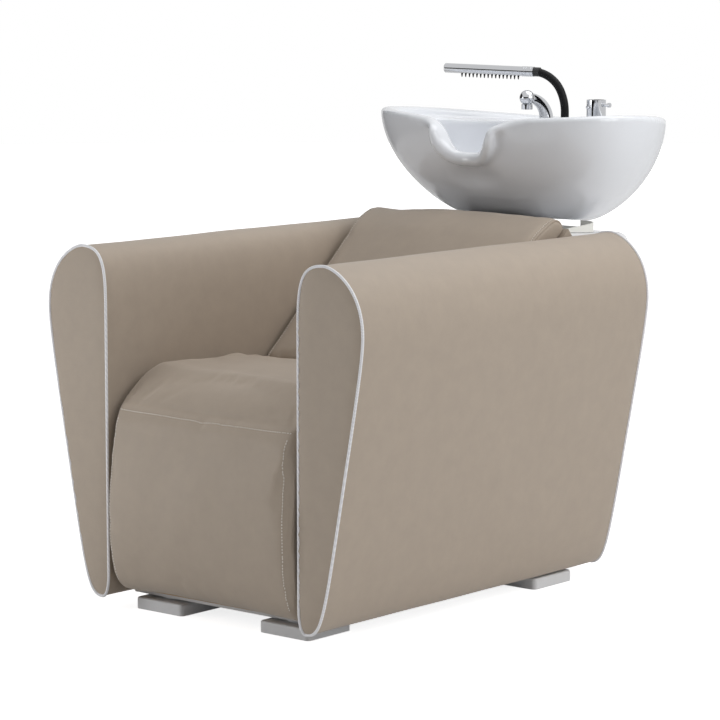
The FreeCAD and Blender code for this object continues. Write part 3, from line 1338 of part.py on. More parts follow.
tap_nut("mixer_nut", shank, mixer_place)
handle_low = "(sizes.mixer_foot_height + sizes.fit_gap)"
handle_top = "(" + handle_low + " + sizes.mixer_handle_height)"
cap_low = "(" + handle_top + " - sizes.mixer_cap_depth)"
spindle_top = "(sizes.mixer_foot_height + sizes.mixer_spindle_height + sizes.fit_gap)"
spindle_bore = "(sizes.mixer_spindle_radius + sizes.pin_play)"
handle = turned_body("mixer_handle", [
    (spindle_bore, handle_low), ("sizes.mixer_radius", handle_low), ("sizes.mixer_radius", handle_top),
    ("sizes.mixer_cap_radius", handle_top), ("sizes.mixer_cap_radius", cap_low),
    ("0", cap_low), ("0", spindle_top), (spindle_bore, spindle_top)])
keep(handle, "mixer_handle", mixer_place)
mixer_cap = turned_body("mixer_cap", [
    ("0", cap_low), ("sizes.mixer_cap_radius", cap_low),
    ("sizes.mixer_cap_radius", handle_top + " - sizes.mixer_cap_sink"),
    ("0", handle_top + " - sizes.mixer_cap_sink")])
keep(mixer_cap, "mixer_cap", mixer_place)
LEVER_HEADING = 0.0
STUB_HEADING = 255.0


def radial_pin(heading, reach, height):
    """A pin that stands out of the handle's side, rounded at its tip."""
    start = mm.mixer_radius - mm.fit_gap
    length = reach - start
    rod = Part.makeCylinder(mm.lever_radius, length, Vector(start, 0, height), Vector(1, 0, 0))
    if reach > mm.stub_reach:
        rod = rod.fuse(Part.makeCylinder(mm.lever_knob_radius, mm.lever_knob_length,
                                         Vector(reach - mm.lever_knob_length, 0, height), Vector(1, 0, 0)))
    rod = rod.cut(Part.makeCylinder(mm.mixer_radius, mm.mixer_handle_height * 2.0))
    rod.rotate(Vector(0, 0, 0), Vector(0, 0, 1), heading)
    return rod


pins = Part.makeCompound([radial_pin(LEVER_HEADING, mm.lever_reach, mm.lever_height),
                          radial_pin(STUB_HEADING, mm.stub_reach, mm.stub_height)])
shaped("mixer_lever_pins", pins, mixer_place)

# Spout: foot on the deck, curved body that narrows to a ball, and the swivelling aerator cup.
spout_place = at(-mm.spout_out, mm.tap_depth, deck_level)
foot_top = "sizes.spout_foot_height"
spout_foot = turned_body("spout_foot", [
    ("0", "-sizes.shank_length"), ("sizes.spout_shank_radius", "-sizes.shank_length"),
    ("sizes.spout_shank_radius", "0"), ("sizes.spout_foot_radius", "0"),
    ("sizes.spout_foot_radius", foot_top), ("sizes.spout_peg_radius", foot_top),
    ("sizes.spout_peg_radius", foot_top + " + sizes.spout_peg_height"),
    ("0", foot_top + " + sizes.spout_peg_height")])
keep(spout_foot, "spout_foot", spout_place)
tap_nut("spout_nut", "sizes.spout_shank_radius", spout_place)
SPOUT_STATION_SHARES = (0.0, 0.2, 0.4, 0.6, 0.8, 1.0)
spout_base = mm.spout_foot_height + mm.fit_gap


def spout_body():
    """Circles along a quarter ellipse, each smaller than the last, closed by the ball."""
    wires = []
    rise = mm.spout_rise - spout_base
    for share in SPOUT_STATION_SHARES:
        angle = share * math.pi / 2.0
        centre = Vector(0, -mm.spout_reach * (1.0 - math.cos(angle)), spout_base + rise * math.sin(angle))
        heading = Vector(0, -mm.spout_reach * math.sin(angle), rise * math.cos(angle))
        if share == 0.0:
            heading = Vector(0, 0, 1)
        radius = mm.spout_root_radius + (mm.spout_neck_radius - mm.spout_root_radius) * share
        wires.append(Part.Wire(Part.makeCircle(radius, centre, heading)))
    body = Part.makeLoft(wires, True, False)
    ball = Part.makeSphere(mm.spout_ball_radius, Vector(0, -mm.spout_reach, mm.spout_rise))
    socket = Part.makeCylinder(mm.spout_peg_radius + mm.pin_play, mm.spout_peg_height + mm.fit_gap,
                               Vector(0, 0, spout_base))
    return body.fuse(ball).cut(socket)


shaped("spout", spout_body(), spout_place)
ball_centre = Vector(0, -mm.spout_reach, mm.spout_rise)
cup_top = -mm.aerator_top
cup = Part.makeCylinder(mm.aerator_radius, mm.aerator_drop - mm.aerator_top,
                        Vector(0, 0, -mm.aerator_drop))
cup = cup.cut(Part.makeSphere(mm.spout_ball_radius + mm.fit_gap))
cup = cup.cut(Part.makeCylinder(mm.aerator_bore, mm.spout_ball_radius, Vector(0, 0, -mm.aerator_drop)))
cup.translate(ball_centre)
shaped("aerator", cup, spout_place)

# Hose: deck bush with its nut, and a self-supporting rubber hose that rises and bends over.
hose_place = at(-mm.hose_out, mm.tap_depth, deck_level)
hose_fit = "(sizes.hose_radius + sizes.pin_play)"
bush = turned_body("hose_bush", [
    (hose_fit, "-sizes.shank_length"), ("sizes.bush_shank_radius", "-sizes.shank_length"),
    ("sizes.bush_shank_radius", "0"), ("sizes.bush_radius", "0"),
    ("sizes.bush_radius", "sizes.bush_height"),
    (hose_fit, "sizes.bush_height")])
keep(bush, "hose_bush", hose_place)
tap_nut("hose_nut", "sizes.bush_shank_radius", hose_place)
heading_turn = Rotation(Vector(0, 0, 1), mm.spray_heading)
hose_turned = at(-mm.hose_out, mm.tap_depth, deck_level, heading_turn)


def bend(start, direction, normal, radius, turn):
    """A tangent arc from a point: the edge, its end and its end direction."""
    angle = math.radians(turn)
    centre = start + normal * radius

    def on_arc(part):
        return centre - normal * (radius * math.cos(part)) + direction * (radius * math.sin(part))

    edge = Part.Arc(start, on_arc(angle / 2.0), on_arc(angle)).toShape()
    end_direction = direction * math.cos(angle) + normal * math.sin(angle)
    end_normal = normal * math.cos(angle) - direction * math.sin(angle)
    return edge, on_arc(angle), end_direction, end_normal


hose_low = Vector(0, 0, -mm.shank_length)
hose_rise = Vector(0, 0, mm.hose_straight_length)
low_arc, low_end, low_way, low_normal = bend(hose_rise, Vector(0, 0, 1), Vector(-1, 0, 0),
                                             mm.hose_low_radius, mm.hose_low_turn)
top_arc, top_end, spray_way, top_normal = bend(low_end, low_way, low_normal, mm.hose_top_radius,
                                               mm.hose_top_turn)
hose_tip = top_end + spray_way * mm.hose_end_length
hose_path = Part.Wire([Part.LineSegment(hose_low, hose_rise).toShape(), low_arc, top_arc,
                       Part.LineSegment(top_end, hose_tip).toShape()])
hose_section = Part.Wire(Part.makeCircle(mm.hose_radius, hose_low, Vector(0, 0, 1)))
hose = hose_path.makePipeShell([hose_section], True, False)
shaped("spray_hose", hose, hose_turned)

# Spray bar along the hose's end: black ferrule, grooved collar, tube, end cap and rubber nozzles.
spray_turn = Rotation(Vector(0, 0, 1), spray_way)


def along_spray(distance, shape):
    """Lays an upright shape along the spray bar, counted from the end of the hose's bend."""
    shape.Placement = Placement(top_end + spray_way * distance, spray_turn).multiply(shape.Placement)
    return shape


ferrule = along_spray(-mm.ferrule_length - mm.fit_gap,
                      Part.makeCylinder(mm.ferrule_radius, mm.ferrule_length))
shaped("hose_ferrule", ferrule.cut(hose), hose_turned)
spray_collar = Part.makeCylinder(mm.collar_radius, mm.spray_collar_length)
GROOVE_SHARES = (0.15, 0.55, 0.75)
for share in GROOVE_SHARES:
    start = Vector(0, 0, mm.spray_collar_length * share)
    ring = Part.makeCylinder(mm.collar_radius + mm.cut_overrun, mm.groove_width, start)
    ring = ring.cut(Part.makeCylinder(mm.collar_radius - mm.groove_depth, mm.groove_width, start))
    spray_collar = spray_collar.cut(ring)
spray_collar = spray_collar.cut(Part.makeCylinder(mm.hose_radius + mm.pin_play,
                                                  mm.hose_end_length + mm.fit_gap))
shaped("spray_collar", along_spray(0, spray_collar), hose_turned)
tube_start = mm.spray_collar_length
spray_tube = Part.makeCylinder(mm.spray_radius, mm.spray_length)
spray_tube = spray_tube.cut(Part.makeCylinder(mm.spray_radius - mm.spray_wall, mm.spray_length))
shaped("spray_bar", along_spray(tube_start, spray_tube), hose_turned)
end_cap = Part.makeCylinder(mm.spray_radius, mm.spray_cap_length)
far_rim = max(end_cap.Edges, key=lambda edge: edge.CenterOfMass.z if edge.Closed else 0)
end_cap = end_cap.makeFillet(mm.spray_wall, [far_rim])
shaped("spray_end_cap", along_spray(tube_start + mm.spray_length, end_cap), hose_turned)
nozzles = []
for number in range(NOZZLE_COUNT):
    distance = mm.nozzle_start_length + mm.nozzle_spacing * number
    cone = Part.makeCone(mm.nozzle_root_radius, mm.nozzle_tip_radius, mm.nozzle_length + mm.spray_wall,
                         Vector(mm.spray_wall - mm.spray_radius, 0, distance), Vector(-1, 0, 0))
    cone = cone.cut(Part.makeCylinder(mm.spray_radius, distance + mm.cut_overrun))
    nozzles.append(cone)
nozzle_group = Part.makeCompound(nozzles)
shaped("spray_nozzles", along_spray(tube_start, nozzle_group), hose_turned)


# Rear cover: a moulded shell, open in front and below, with a gently falling top.
def cover_top(depth):
    """Height of the cover's top at a depth."""
    return mm.cover_top_rear + (mm.cover_rear - depth) * math.tan(math.radians(mm.cover_pitch))


def cover_back(height):
    """Depth of the cover's rear face at a height: it leans back from foot to top."""
    lean = (mm.cover_rear - mm.cover_foot_rear) / (mm.cover_top_rear - plate_top)
    return mm.cover_foot_rear + (height - plate_top) * lean


def cover_block(inset, front, low):
    """The cover's outer form, drawn in by its wall for the inside."""
    outline = [(front, low), (cover_back(low) - inset, low),
               (cover_back(mm.cover_top_rear - inset) - inset, cover_top(mm.cover_rear) - inset),
               (front, cover_top(front) - inset)]
    half = mm.cover_half_width - inset
    solid = prism(outline, -half, half)
    rounded = []
    for edge in solid.Edges:
        middle = edge.CenterOfMass
        way = edge.tangentAt(edge.FirstParameter)
        steep = abs(way.z) > MOSTLY_SHARE
        behind_front = middle.y > front + mm.cover_round
        on_top = middle.z > mm.cover_top_rear - mm.cover_round
        if behind_front and (steep or on_top):
            rounded.append(edge)
    return solid.makeFillet(mm.cover_round - inset, rounded)


cover = cover_block(0, mm.cover_front, plate_top)
cover = cover.cut(cover_block(mm.cover_wall, mm.cover_front - mm.cut_overrun,
                              plate_top - mm.cut_overrun))
slot = Part.makeBox(mm.cover_slot_half * 2.0, mm.cover_slot_rear - mm.cover_slot_front, mm.pivot_height,
                    Vector(-mm.cover_slot_half, mm.cover_slot_front, mm.pivot_height - mm.cut_overrun))
drain_way = Part.makeCylinder(mm.cover_drain_radius, mm.pivot_height,
                              Vector(0, mm.drain_depth, mm.pivot_height - mm.cut_overrun))
# The service opening, its panel and screws lie on the leaning rear face, counted up it from its foot.
lean_turn = Rotation(Vector(0, 0, 1), Vector(0, mm.cover_rear - mm.cover_foot_rear,
                                             mm.cover_top_rear - plate_top))
rear_face = Placement(Vector(0, mm.cover_foot_rear, plate_top), lean_turn)


def on_rear_face(shape):
    """Lays a shape on the leaning rear face."""
    shape.Placement = rear_face.multiply(shape.Placement)
    return shape


def rear_round(radius, start, length, x, height):
    """A round piece square to the rear face, from a start outwards."""
    return on_rear_face(Part.makeCylinder(radius, length, Vector(x, start, height), Vector(0, 1, 0)))


hatch = on_rear_face(Part.makeBox((mm.panel_half_width - mm.panel_lap) * 2.0, mm.cut_overrun * 2.0,
                                  mm.panel_high - mm.panel_low - mm.panel_lap * 2.0,
                                  Vector(-mm.panel_half_width + mm.panel_lap, -mm.cut_overrun,
                                         mm.panel_low + mm.panel_lap)))
cover = cover.cut(slot).cut(drain_way).cut(hatch)
panel = Part.makeBox(mm.panel_half_width * 2.0, mm.panel_thickness, mm.panel_high - mm.panel_low,
                     Vector(-mm.panel_half_width, 0, mm.panel_low))
panel = on_rear_face(panel.makeFillet(mm.panel_corner, [
    edge for edge in panel.Edges if abs(edge.tangentAt(edge.FirstParameter).y) > ALONG_SHARE]))
screw_group = []
shank_reach = mm.cover_wall + mm.panel_lap / 2.0
for side in (-1, 1):
    for height in (mm.panel_low + mm.panel_lap, mm.panel_high - mm.panel_lap):
        x = side * (mm.panel_half_width - mm.panel_lap / 2.0)
        hole = rear_round(mm.panel_screw_radius + mm.bolt_hole_play, -mm.cut_overrun, mm.cut_overrun * 2.0,
                          x, height)
        cover = cover.cut(hole)
        panel = panel.cut(hole)
        shank_solid = rear_round(mm.panel_screw_radius, -shank_reach, shank_reach + mm.panel_thickness,
                                 x, height)
        head_solid = rear_round(mm.panel_screw_head, mm.panel_thickness, mm.panel_thickness, x, height)
        screw_group.append(shank_solid.fuse(head_solid))
shaped("rear_cover", cover, at(0, 0, 0))
shaped("service_panel", panel, at(0, 0, 0))
shaped("service_screws", Part.makeCompound(screw_group), at(0, 0, 0))


# Collar: folded sheet standing on the cover round the tilt bracket, open above.
def collar_block(inset):
    """A rounded upright block, drawn in by the sheet's thickness for the inside."""
    half = mm.collar_half_width - inset
    solid = Part.makeBox(half * 2.0, mm.collar_rear - mm.collar_front - inset * 2.0,
                         mm.collar_rim_rear - mm.pivot_height + mm.cut_overrun * 2.0,
                         Vector(-half, mm.collar_front + inset, mm.pivot_height - mm.cut_overrun))
    rear_edges = [edge for edge in solid.Edges
                  if abs(edge.tangentAt(edge.FirstParameter).z) > ALONG_SHARE
                  and edge.CenterOfMass.y > mm.pivot_depth]
    return solid.makeFillet(mm.collar_corner - inset, rear_edges)


collar_keep = prism([(mm.collar_front, cover_top(mm.collar_front)),
                     (mm.collar_rear, cover_top(mm.collar_rear)),
                     (mm.collar_rear, mm.collar_rim_rear), (mm.collar_front, mm.collar_rim_front)],
                    -mm.collar_half_width, mm.collar_half_width)
collar = collar_block(0).cut(collar_block(mm.collar_wall)).common(collar_keep)
rear_dip = Part.makeBox(
    mm.collar_notch_half * 2.0, mm.cut_overrun * 2.0, mm.cut_overrun * 2.0,
    Vector(-mm.collar_notch_half, mm.collar_rear - mm.cut_overrun, mm.collar_notch_level))
collar = collar.cut(rear_dip)
shaped("collar", collar.removeSplitter(), at(0, 0, 0))

doc.recompute()
problems = []
for obj in doc.Objects:
    if "Invalid" in obj.State or "Error" in obj.State:
        problems.append("%s: %s" % (obj.Label, obj.State))
for piece in nodes:
    shape = piece.Shape
    if shape.isNull() or not shape.isValid() or not shape.Solids or shape.Volume <= 0:
        problems.append("%s: bad shape" % piece.Label)
if problems:
    raise RuntimeError("\n".join(problems))
for piece in nodes:
    piece.Shape.exportStep("parts/%s.step" % piece.Label)
print(len(nodes), "sub-parts written")
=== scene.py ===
import math

import bmesh
import bpy
from mathutils import Matrix, Vector, noise
from mathutils.bvhtree import BVHTree
from mathutils.kdtree import KDTree


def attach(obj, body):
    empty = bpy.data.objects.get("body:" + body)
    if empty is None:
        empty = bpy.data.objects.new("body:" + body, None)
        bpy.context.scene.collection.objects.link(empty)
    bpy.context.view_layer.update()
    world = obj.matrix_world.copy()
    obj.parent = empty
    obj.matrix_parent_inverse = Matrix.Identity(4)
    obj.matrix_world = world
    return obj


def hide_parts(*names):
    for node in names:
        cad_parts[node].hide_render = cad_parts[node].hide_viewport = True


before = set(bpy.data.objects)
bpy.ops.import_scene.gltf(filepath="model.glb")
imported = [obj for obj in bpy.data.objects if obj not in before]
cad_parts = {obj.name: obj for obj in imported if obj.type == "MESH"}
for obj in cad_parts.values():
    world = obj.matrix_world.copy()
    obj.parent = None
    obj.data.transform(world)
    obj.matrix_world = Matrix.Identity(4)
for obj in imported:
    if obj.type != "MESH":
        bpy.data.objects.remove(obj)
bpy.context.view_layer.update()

bpy.context.scene.view_settings.view_transform = "Standard"
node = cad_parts
scene = bpy.context.scene

# Base: a flat steel plate on four low moulded feet, all in one light grey coat.
# The feet are screwed up to the plate, so only their rounded tops and sides show.
GREY = (0.73, 0.73, 0.74)


def finish(name, colour, roughness, metallic=0.0):
    """A material with one shader, ready for its texture nodes."""
    material = bpy.data.materials.new(name)
    material.use_nodes = True
    shader = material.node_tree.nodes["Principled BSDF"]
    shader.inputs["Base Color"].default_value = (*colour, 1)
    shader.inputs["Roughness"].default_value = roughness
    shader.inputs["Metallic"].default_value = metallic
    return material, material.node_tree, shader


def group_shell(name, sockets_in, sockets_out):
    """An empty node group with named number sockets, and its ends."""
    group = bpy.data.node_groups.new(name, "ShaderNodeTree")
    for socket, kind, value in sockets_in:
        made = group.interface.new_socket(socket, in_out="INPUT", socket_type=kind)
        if value is not None:
            made.default_value = value
    for socket, kind in sockets_out:
        group.interface.new_socket(socket, in_out="OUTPUT", socket_type=kind)
    start = group.nodes.new("NodeGroupInput")
    end = group.nodes.new("NodeGroupOutput")
    return group, start, end


def fine_speckle():
    """Cloudy tone and a fine orange-peel height, for sprayed and moulded surfaces."""
    group, start, end = group_shell(
        "fine speckle",
        [("Vector", "NodeSocketVector", None), ("Peel Scale", "NodeSocketFloat", 900.0),
         ("Cloud Scale", "NodeSocketFloat", 9.0)],
        [("Height", "NodeSocketFloat"), ("Cloud", "NodeSocketFloat")])
    for socket, output, detail in (("Peel Scale", "Height", 2.0), ("Cloud Scale", "Cloud", 4.0)):
        texture = group.nodes.new("ShaderNodeTexNoise")
        texture.inputs["Detail"].default_value = detail
        group.links.new(start.outputs["Vector"], texture.inputs["Vector"])
        group.links.new(start.outputs[socket], texture.inputs["Scale"])
        group.links.new(texture.outputs["Fac"], end.inputs[output])
    return group


speckle = fine_speckle()


def textured(tree, shader, group, settings, colours, bump, distance=0.001, rough=None):
    """Feeds a surface group into colour, roughness and bump of a shader."""
    place = tree.nodes.new("ShaderNodeTexCoord")
    texture = tree.nodes.new("ShaderNodeGroup")
    texture.node_tree = group
    tree.links.new(place.outputs["Object"], texture.inputs["Vector"])
    for socket, value in settings.items():
        texture.inputs[socket].default_value = value
    mix = tree.nodes.new("ShaderNodeMix")
    mix.data_type = "RGBA"
    mix.inputs["A"].default_value = (*colours[0], 1)
    mix.inputs["B"].default_value = (*colours[1], 1)
    tree.links.new(texture.outputs["Cloud"], mix.inputs["Factor"])
    tree.links.new(mix.outputs["Result"], shader.inputs["Base Color"])
    bumps = tree.nodes.new("ShaderNodeBump")
    bumps.inputs["Strength"].default_value = bump
    bumps.inputs["Distance"].default_value = distance
    tree.links.new(texture.outputs["Height"], bumps.inputs["Height"])
    tree.links.new(bumps.outputs["Normal"], shader.inputs["Normal"])
    if rough:
        span = tree.nodes.new("ShaderNodeMapRange")
        span.inputs["To Min"].default_value = rough[0]
        span.inputs["To Max"].default_value = rough[1]
        tree.links.new(texture.outputs["Cloud"], span.inputs["Value"])
        tree.links.new(span.outputs["Result"], shader.inputs["Roughness"])


def shades(colour, spread):
    """A darker and a lighter shade of one colour."""
    return (tuple(c * (1 - spread) for c in colour), tuple(c * (1 + spread) for c in colour))


def coat(material, *names):
    """Gives CAD nodes their material."""
    for name in names:
        piece = node[name]
        piece.data.materials.clear()
        piece.data.materials.append(material)


grey_coat, tree, shader = finish("grey coat", GREY, 0.42)
textured(tree, shader, speckle, {"Peel Scale": 1400.0, "Cloud Scale": 6.0}, shades(GREY, 0.05), 0.12,
         0.0004, (0.36, 0.5))
coat(grey_coat, "base_plate", "foot_front_left", "foot_front_right", "foot_rear_left", "foot_rear_right")

# Hidden structure: plywood seat box, arm frames and gussets, black steel column, bracket and saddle.
# Plated bolts and screws hold them; they show only from behind and below.
PLY = (0.50, 0.33, 0.17)
PLY_PALE = (0.52, 0.35, 0.19)
PLY_DARK = (0.38, 0.24, 0.12)
PLY_STRETCH = (60.0, 6.0, 60.0)
plywood, tree, shader = finish("plywood", PLY, 0.62)
place = tree.nodes.new("ShaderNodeTexCoord")
stretch = tree.nodes.new("ShaderNodeMapping")
stretch.inputs["Scale"].default_value = PLY_STRETCH
rings = tree.nodes.new("ShaderNodeTexWave")
rings.bands_direction = "Z"
rings.inputs["Scale"].default_value = 0.6
rings.inputs["Distortion"].default_value = 7.0
rings.inputs["Detail"].default_value = 3.0
tone = tree.nodes.new("ShaderNodeMix")
tone.data_type = "RGBA"
tone.inputs["A"].default_value = (*PLY_PALE, 1)
tone.inputs["B"].default_value = (*PLY_DARK, 1)
tree.links.new(place.outputs["Object"], stretch.inputs["Vector"])
tree.links.new(stretch.outputs["Vector"], rings.inputs["Vector"])
tree.links.new(rings.outputs["Fac"], tone.inputs["Factor"])
tree.links.new(tone.outputs["Result"], shader.inputs["Base Color"])
coat(plywood, "seat_box", "arm_frame_left", "arm_frame_right", "back_bracket_left", "back_bracket_right")

BLACK_PAINT = (0.02, 0.02, 0.022)
BLACK_PAINT_SHADES = ((0.015, 0.015, 0.017), (0.028, 0.028, 0.03))
black_steel, tree, shader = finish("black steel", BLACK_PAINT, 0.38)
textured(tree, shader, speckle, {"Peel Scale": 1100.0, "Cloud Scale": 8.0}, BLACK_PAINT_SHADES, 0.2, 0.0004)
coat(black_steel, "support_column", "tilt_bracket", "basin_saddle")

ZINC = (0.62, 0.62, 0.61)
ZINC_SHADES = ((0.55, 0.55, 0.54), (0.70, 0.70, 0.69))
plated, tree, shader = finish("plated steel", ZINC, 0.3, 1.0)
textured(tree, shader, speckle, {"Peel Scale": 2200.0, "Cloud Scale": 40.0}, ZINC_SHADES, 0.05, 0.0003,
         (0.22, 0.4))
coat(plated, "tilt_pin", "tilt_pin_nuts", "arm_bolts", "foot_screws", "saddle_bolts", "service_screws")

# Arms: a soft cover of taupe hide with fine grain, wrapped round a board frame from front to rear.
# Its ends tuck in under a twisted white cord.
ARM_FRONT = -0.63005
ARM_INNER = 0.2375
ARM_FOOT = 0.026
ARM_LENGTH = 0.862
ARM_SKIN_INSET = 0.0008
ARM_END_TUCK = 0.0028
ARM_END_ROLL = 0.0045
ARM_RINGS = 46
ARM_WAVE_LENGTH, ARM_WAVE_DEPTH = 6.0, 0.0016
ARM_FIRM_END = 0.02
HIDE = (0.402, 0.334, 0.268)
ARM_POINTS = [
    # outwards and up: point, handle before, handle after
    ((0.0, 0.551), (0.0, 0.380), (0.0, 0.6289)),
    ((0.059, 0.660), (0.0088, 0.660), (0.0821, 0.660)),
    ((0.1486, 0.542), (0.1486, 0.6291), (0.1486, 0.5156)),
    ((0.114, 0.324), (0.1422, 0.4718), (0.0596, 0.0388)),
    ((0.017, 0.0), (0.0566, 0.0), (0.0045, 0.0)),
    ((0.0, 0.045), (0.0, 0.0252), (0.0, 0.200)),
]


def hide_grain():
    """Grain cells, pores and slow mottling of a soft corrected hide."""
    group, start, end = group_shell(
        "hide grain",
        [("Vector", "NodeSocketVector", None), ("Grain Scale", "NodeSocketFloat", 620.0),
         ("Cloud Scale", "NodeSocketFloat", 7.0)],
        [("Height", "NodeSocketFloat"), ("Cloud", "NodeSocketFloat")])
    cells = group.nodes.new("ShaderNodeTexVoronoi")
    cells.feature = "SMOOTH_F1"
    group.links.new(start.outputs["Vector"], cells.inputs["Vector"])
    group.links.new(start.outputs["Grain Scale"], cells.inputs["Scale"])
    drift = group.nodes.new("ShaderNodeTexNoise")
    drift.inputs["Scale"].default_value = 90.0
    drift.inputs["Detail"].default_value = 6.0
    group.links.new(start.outputs["Vector"], drift.inputs["Vector"])
    height = group.nodes.new("ShaderNodeMath")
    height.operation = "MULTIPLY_ADD"
    height.inputs[1].default_value = 0.8
    group.links.new(cells.outputs["Distance"], height.inputs[0])
    group.links.new(drift.outputs["Fac"], height.inputs[2])
    group.links.new(height.outputs["Value"], end.inputs["Height"])
    cloud = group.nodes.new("ShaderNodeTexNoise")
    cloud.inputs["Detail"].default_value = 7.0
    cloud.inputs["Roughness"].default_value = 0.62
    group.links.new(start.outputs["Vector"], cloud.inputs["Vector"])
    group.links.new(start.outputs["Cloud Scale"], cloud.inputs["Scale"])
    group.links.new(cloud.outputs["Fac"], end.inputs["Cloud"])
    return group


grain = hide_grain()
hide, tree, shader = finish("taupe hide", HIDE, 0.55)
textured(tree, shader, grain, {"Grain Scale": 620.0, "Cloud Scale": 30.0}, shades(HIDE, 0.09), 0.18,
         0.0006, (0.50, 0.66))
shader.inputs["Sheen Weight"].default_value = 0.18
shader.inputs["Sheen Roughness"].default_value = 0.5
shader.inputs["Specular IOR Level"].default_value = 0.35


def arm_outline(side, inset, steps=20):
    """One face with the arm's outline, drawn in by an inset, standing at the arm's front."""
    curve = bpy.data.curves.new("arm line", "CURVE")
    curve.dimensions = "3D"
    curve.resolution_u = steps
    spline = curve.splines.new("BEZIER")
    spline.bezier_points.add(len(ARM_POINTS) - 1)
    spline.use_cyclic_u = True
    for point, corners in zip(spline.bezier_points, ARM_POINTS):
        spots = [Vector((side * (ARM_INNER + out), ARM_FRONT, ARM_FOOT + up)) for out, up in corners]
        point.handle_left_type = "FREE"
        point.handle_right_type = "FREE"
        point.co, point.handle_left, point.handle_right = spots
    holder = bpy.data.objects.new("arm line", curve)
    scene.collection.objects.link(holder)
    bpy.context.view_layer.update()
    line = bpy.data.meshes.new_from_object(holder.evaluated_get(bpy.context.evaluated_depsgraph_get()))
    bpy.data.objects.remove(holder)
    mesh = bmesh.new()
    mesh.from_mesh(line)
    bmesh.ops.remove_doubles(mesh, verts=mesh.verts, dist=1e-5)
    bmesh.ops.edgeloop_fill(mesh, edges=mesh.edges)
    if inset:
        rim = bmesh.ops.inset_region(mesh, faces=mesh.faces[:], thickness=inset, use_even_offset=True)
        bmesh.ops.delete(mesh, geom=rim["faces"], context="FACES")
        loose = [v for v in mesh.verts if not v.link_faces]
        bmesh.ops.delete(mesh, geom=loose, context="VERTS")
    return mesh


def piece_from(mesh, name, material, body="frame", stands_for=(), slot=None, smooth=True):
    """Turns a bmesh into a finished piece that rides on a body."""
    data = bpy.data.meshes.new(name)
    mesh.normal_update()
    mesh.to_mesh(data)
    mesh.free()
    piece = bpy.data.objects.new(name, data)
    scene.collection.objects.link(piece)
    data.materials.append(material)
    for face in data.polygons:
        face.use_smooth = smooth
    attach(piece, body)
    if stands_for:
        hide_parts(*stands_for)
    return piece


def wavy(verts, size, depth, seed):
    """Slow waves of the soft cover over its foam."""
    for vert in verts:
        spot = vert.co * size + Vector((seed, seed * 0.7, 0))
        vert.co += vert.normal * noise.noise(spot) * depth


def arm_cover(side, label):
    """The wrap of one arm: the outline drawn back, its ends rolled in under the cords."""
    mesh = arm_outline(side, ARM_SKIN_INSET)
    drawn = bmesh.ops.extrude_face_region(mesh, geom=mesh.faces[:])
    moved = [g for g in drawn["geom"] if isinstance(g, bmesh.types.BMVert)]
    bmesh.ops.translate(mesh, verts=moved, vec=(0, ARM_LENGTH - 2 * ARM_END_TUCK, 0))
    bmesh.ops.translate(mesh, verts=mesh.verts, vec=(0, ARM_END_TUCK, 0))
    bmesh.ops.recalc_face_normals(mesh, faces=mesh.faces)
    middle = ARM_FRONT + ARM_LENGTH / 2
    ends = [e for e in mesh.edges if abs(e.verts[0].co.y - e.verts[1].co.y) < 1e-6]
    bmesh.ops.bevel(mesh, geom=ends, offset=ARM_END_ROLL, affect="EDGES", segments=4, profile=0.5,
                    material=-1)
    long_edges = [e for e in mesh.edges if abs(e.verts[0].co.y - e.verts[1].co.y) > ARM_LENGTH / 2]
    bmesh.ops.subdivide_edges(mesh, edges=long_edges, cuts=ARM_RINGS, use_grid_fill=True)
    mesh.normal_update()
    inner = [v for v in mesh.verts if abs(v.co.y - middle) < ARM_LENGTH / 2 - ARM_FIRM_END]
    wavy(inner, ARM_WAVE_LENGTH, ARM_WAVE_DEPTH, 3.0 * side)
    piece = piece_from(mesh, "arm_cover_" + label, hide, stands_for=["arm_upholstery_" + label],
                       slot="taupe_leather")


for side, label in ((-1, "left"), (1, "right")):
    arm_cover(side, label)

# Arm end panels: flat hide over thin foam, sewn in just inside the cord at both ends of each arm.
# They swell slightly from their edge, most near the seam.
PANEL_INSET = 0.0046
PANEL_SWELL = 0.0032
PANEL_SWELL_REACH = 0.007
PANEL_WAVE = 0.0008
PANEL_SEAM = 0.002
PANEL_CUTS_UP, PANEL_CUT_HEIGHT = 44, 0.015
PANEL_CUTS_ACROSS, PANEL_CUT_WIDTH = 12, 0.0125


def end_panel(side, label, end):
    """One end panel, cut into a fine mesh and swollen from its edge."""
    mesh = arm_outline(side, PANEL_INSET)
    rim = KDTree(len(mesh.verts))
    for number, vert in enumerate(mesh.verts):
        rim.insert(vert.co, number)
    rim.balance()
    cuts = [((0, ARM_FRONT, ARM_FOOT + step * PANEL_CUT_HEIGHT), (0, 0, 1))
            for step in range(1, PANEL_CUTS_UP)]
    cuts += [((side * (ARM_INNER + step * PANEL_CUT_WIDTH), 0, 0), (1, 0, 0))
             for step in range(1, PANEL_CUTS_ACROSS)]
    for place, across in cuts:
        bmesh.ops.bisect_plane(mesh, geom=mesh.verts[:] + mesh.edges[:] + mesh.faces[:], dist=1e-6,
                               plane_co=place, plane_no=across)
    for vert in mesh.verts:
        away = rim.find(vert.co)[2]
        swell = PANEL_SWELL * (1 - math.exp(-away / PANEL_SWELL_REACH))
        swell += PANEL_WAVE * noise.noise(vert.co * 9)
        vert.co.y += PANEL_SWELL - swell * min(away / PANEL_SEAM, 1.0)
    if end == "rear":
        for vert in mesh.verts:
            vert.co.y = 2 * ARM_FRONT + ARM_LENGTH - vert.co.y
    bmesh.ops.recalc_face_normals(mesh, faces=mesh.faces)
    outward = -1 if end == "front" else 1
    if sum(face.normal.y for face in mesh.faces) * outward < 0:
        bmesh.ops.reverse_faces(mesh, faces=mesh.faces)
    name = "arm_%s_panel_%s" % (end, label)
    piece = piece_from(mesh, name + "_hide", hide, stands_for=[name], slot="taupe_leather")


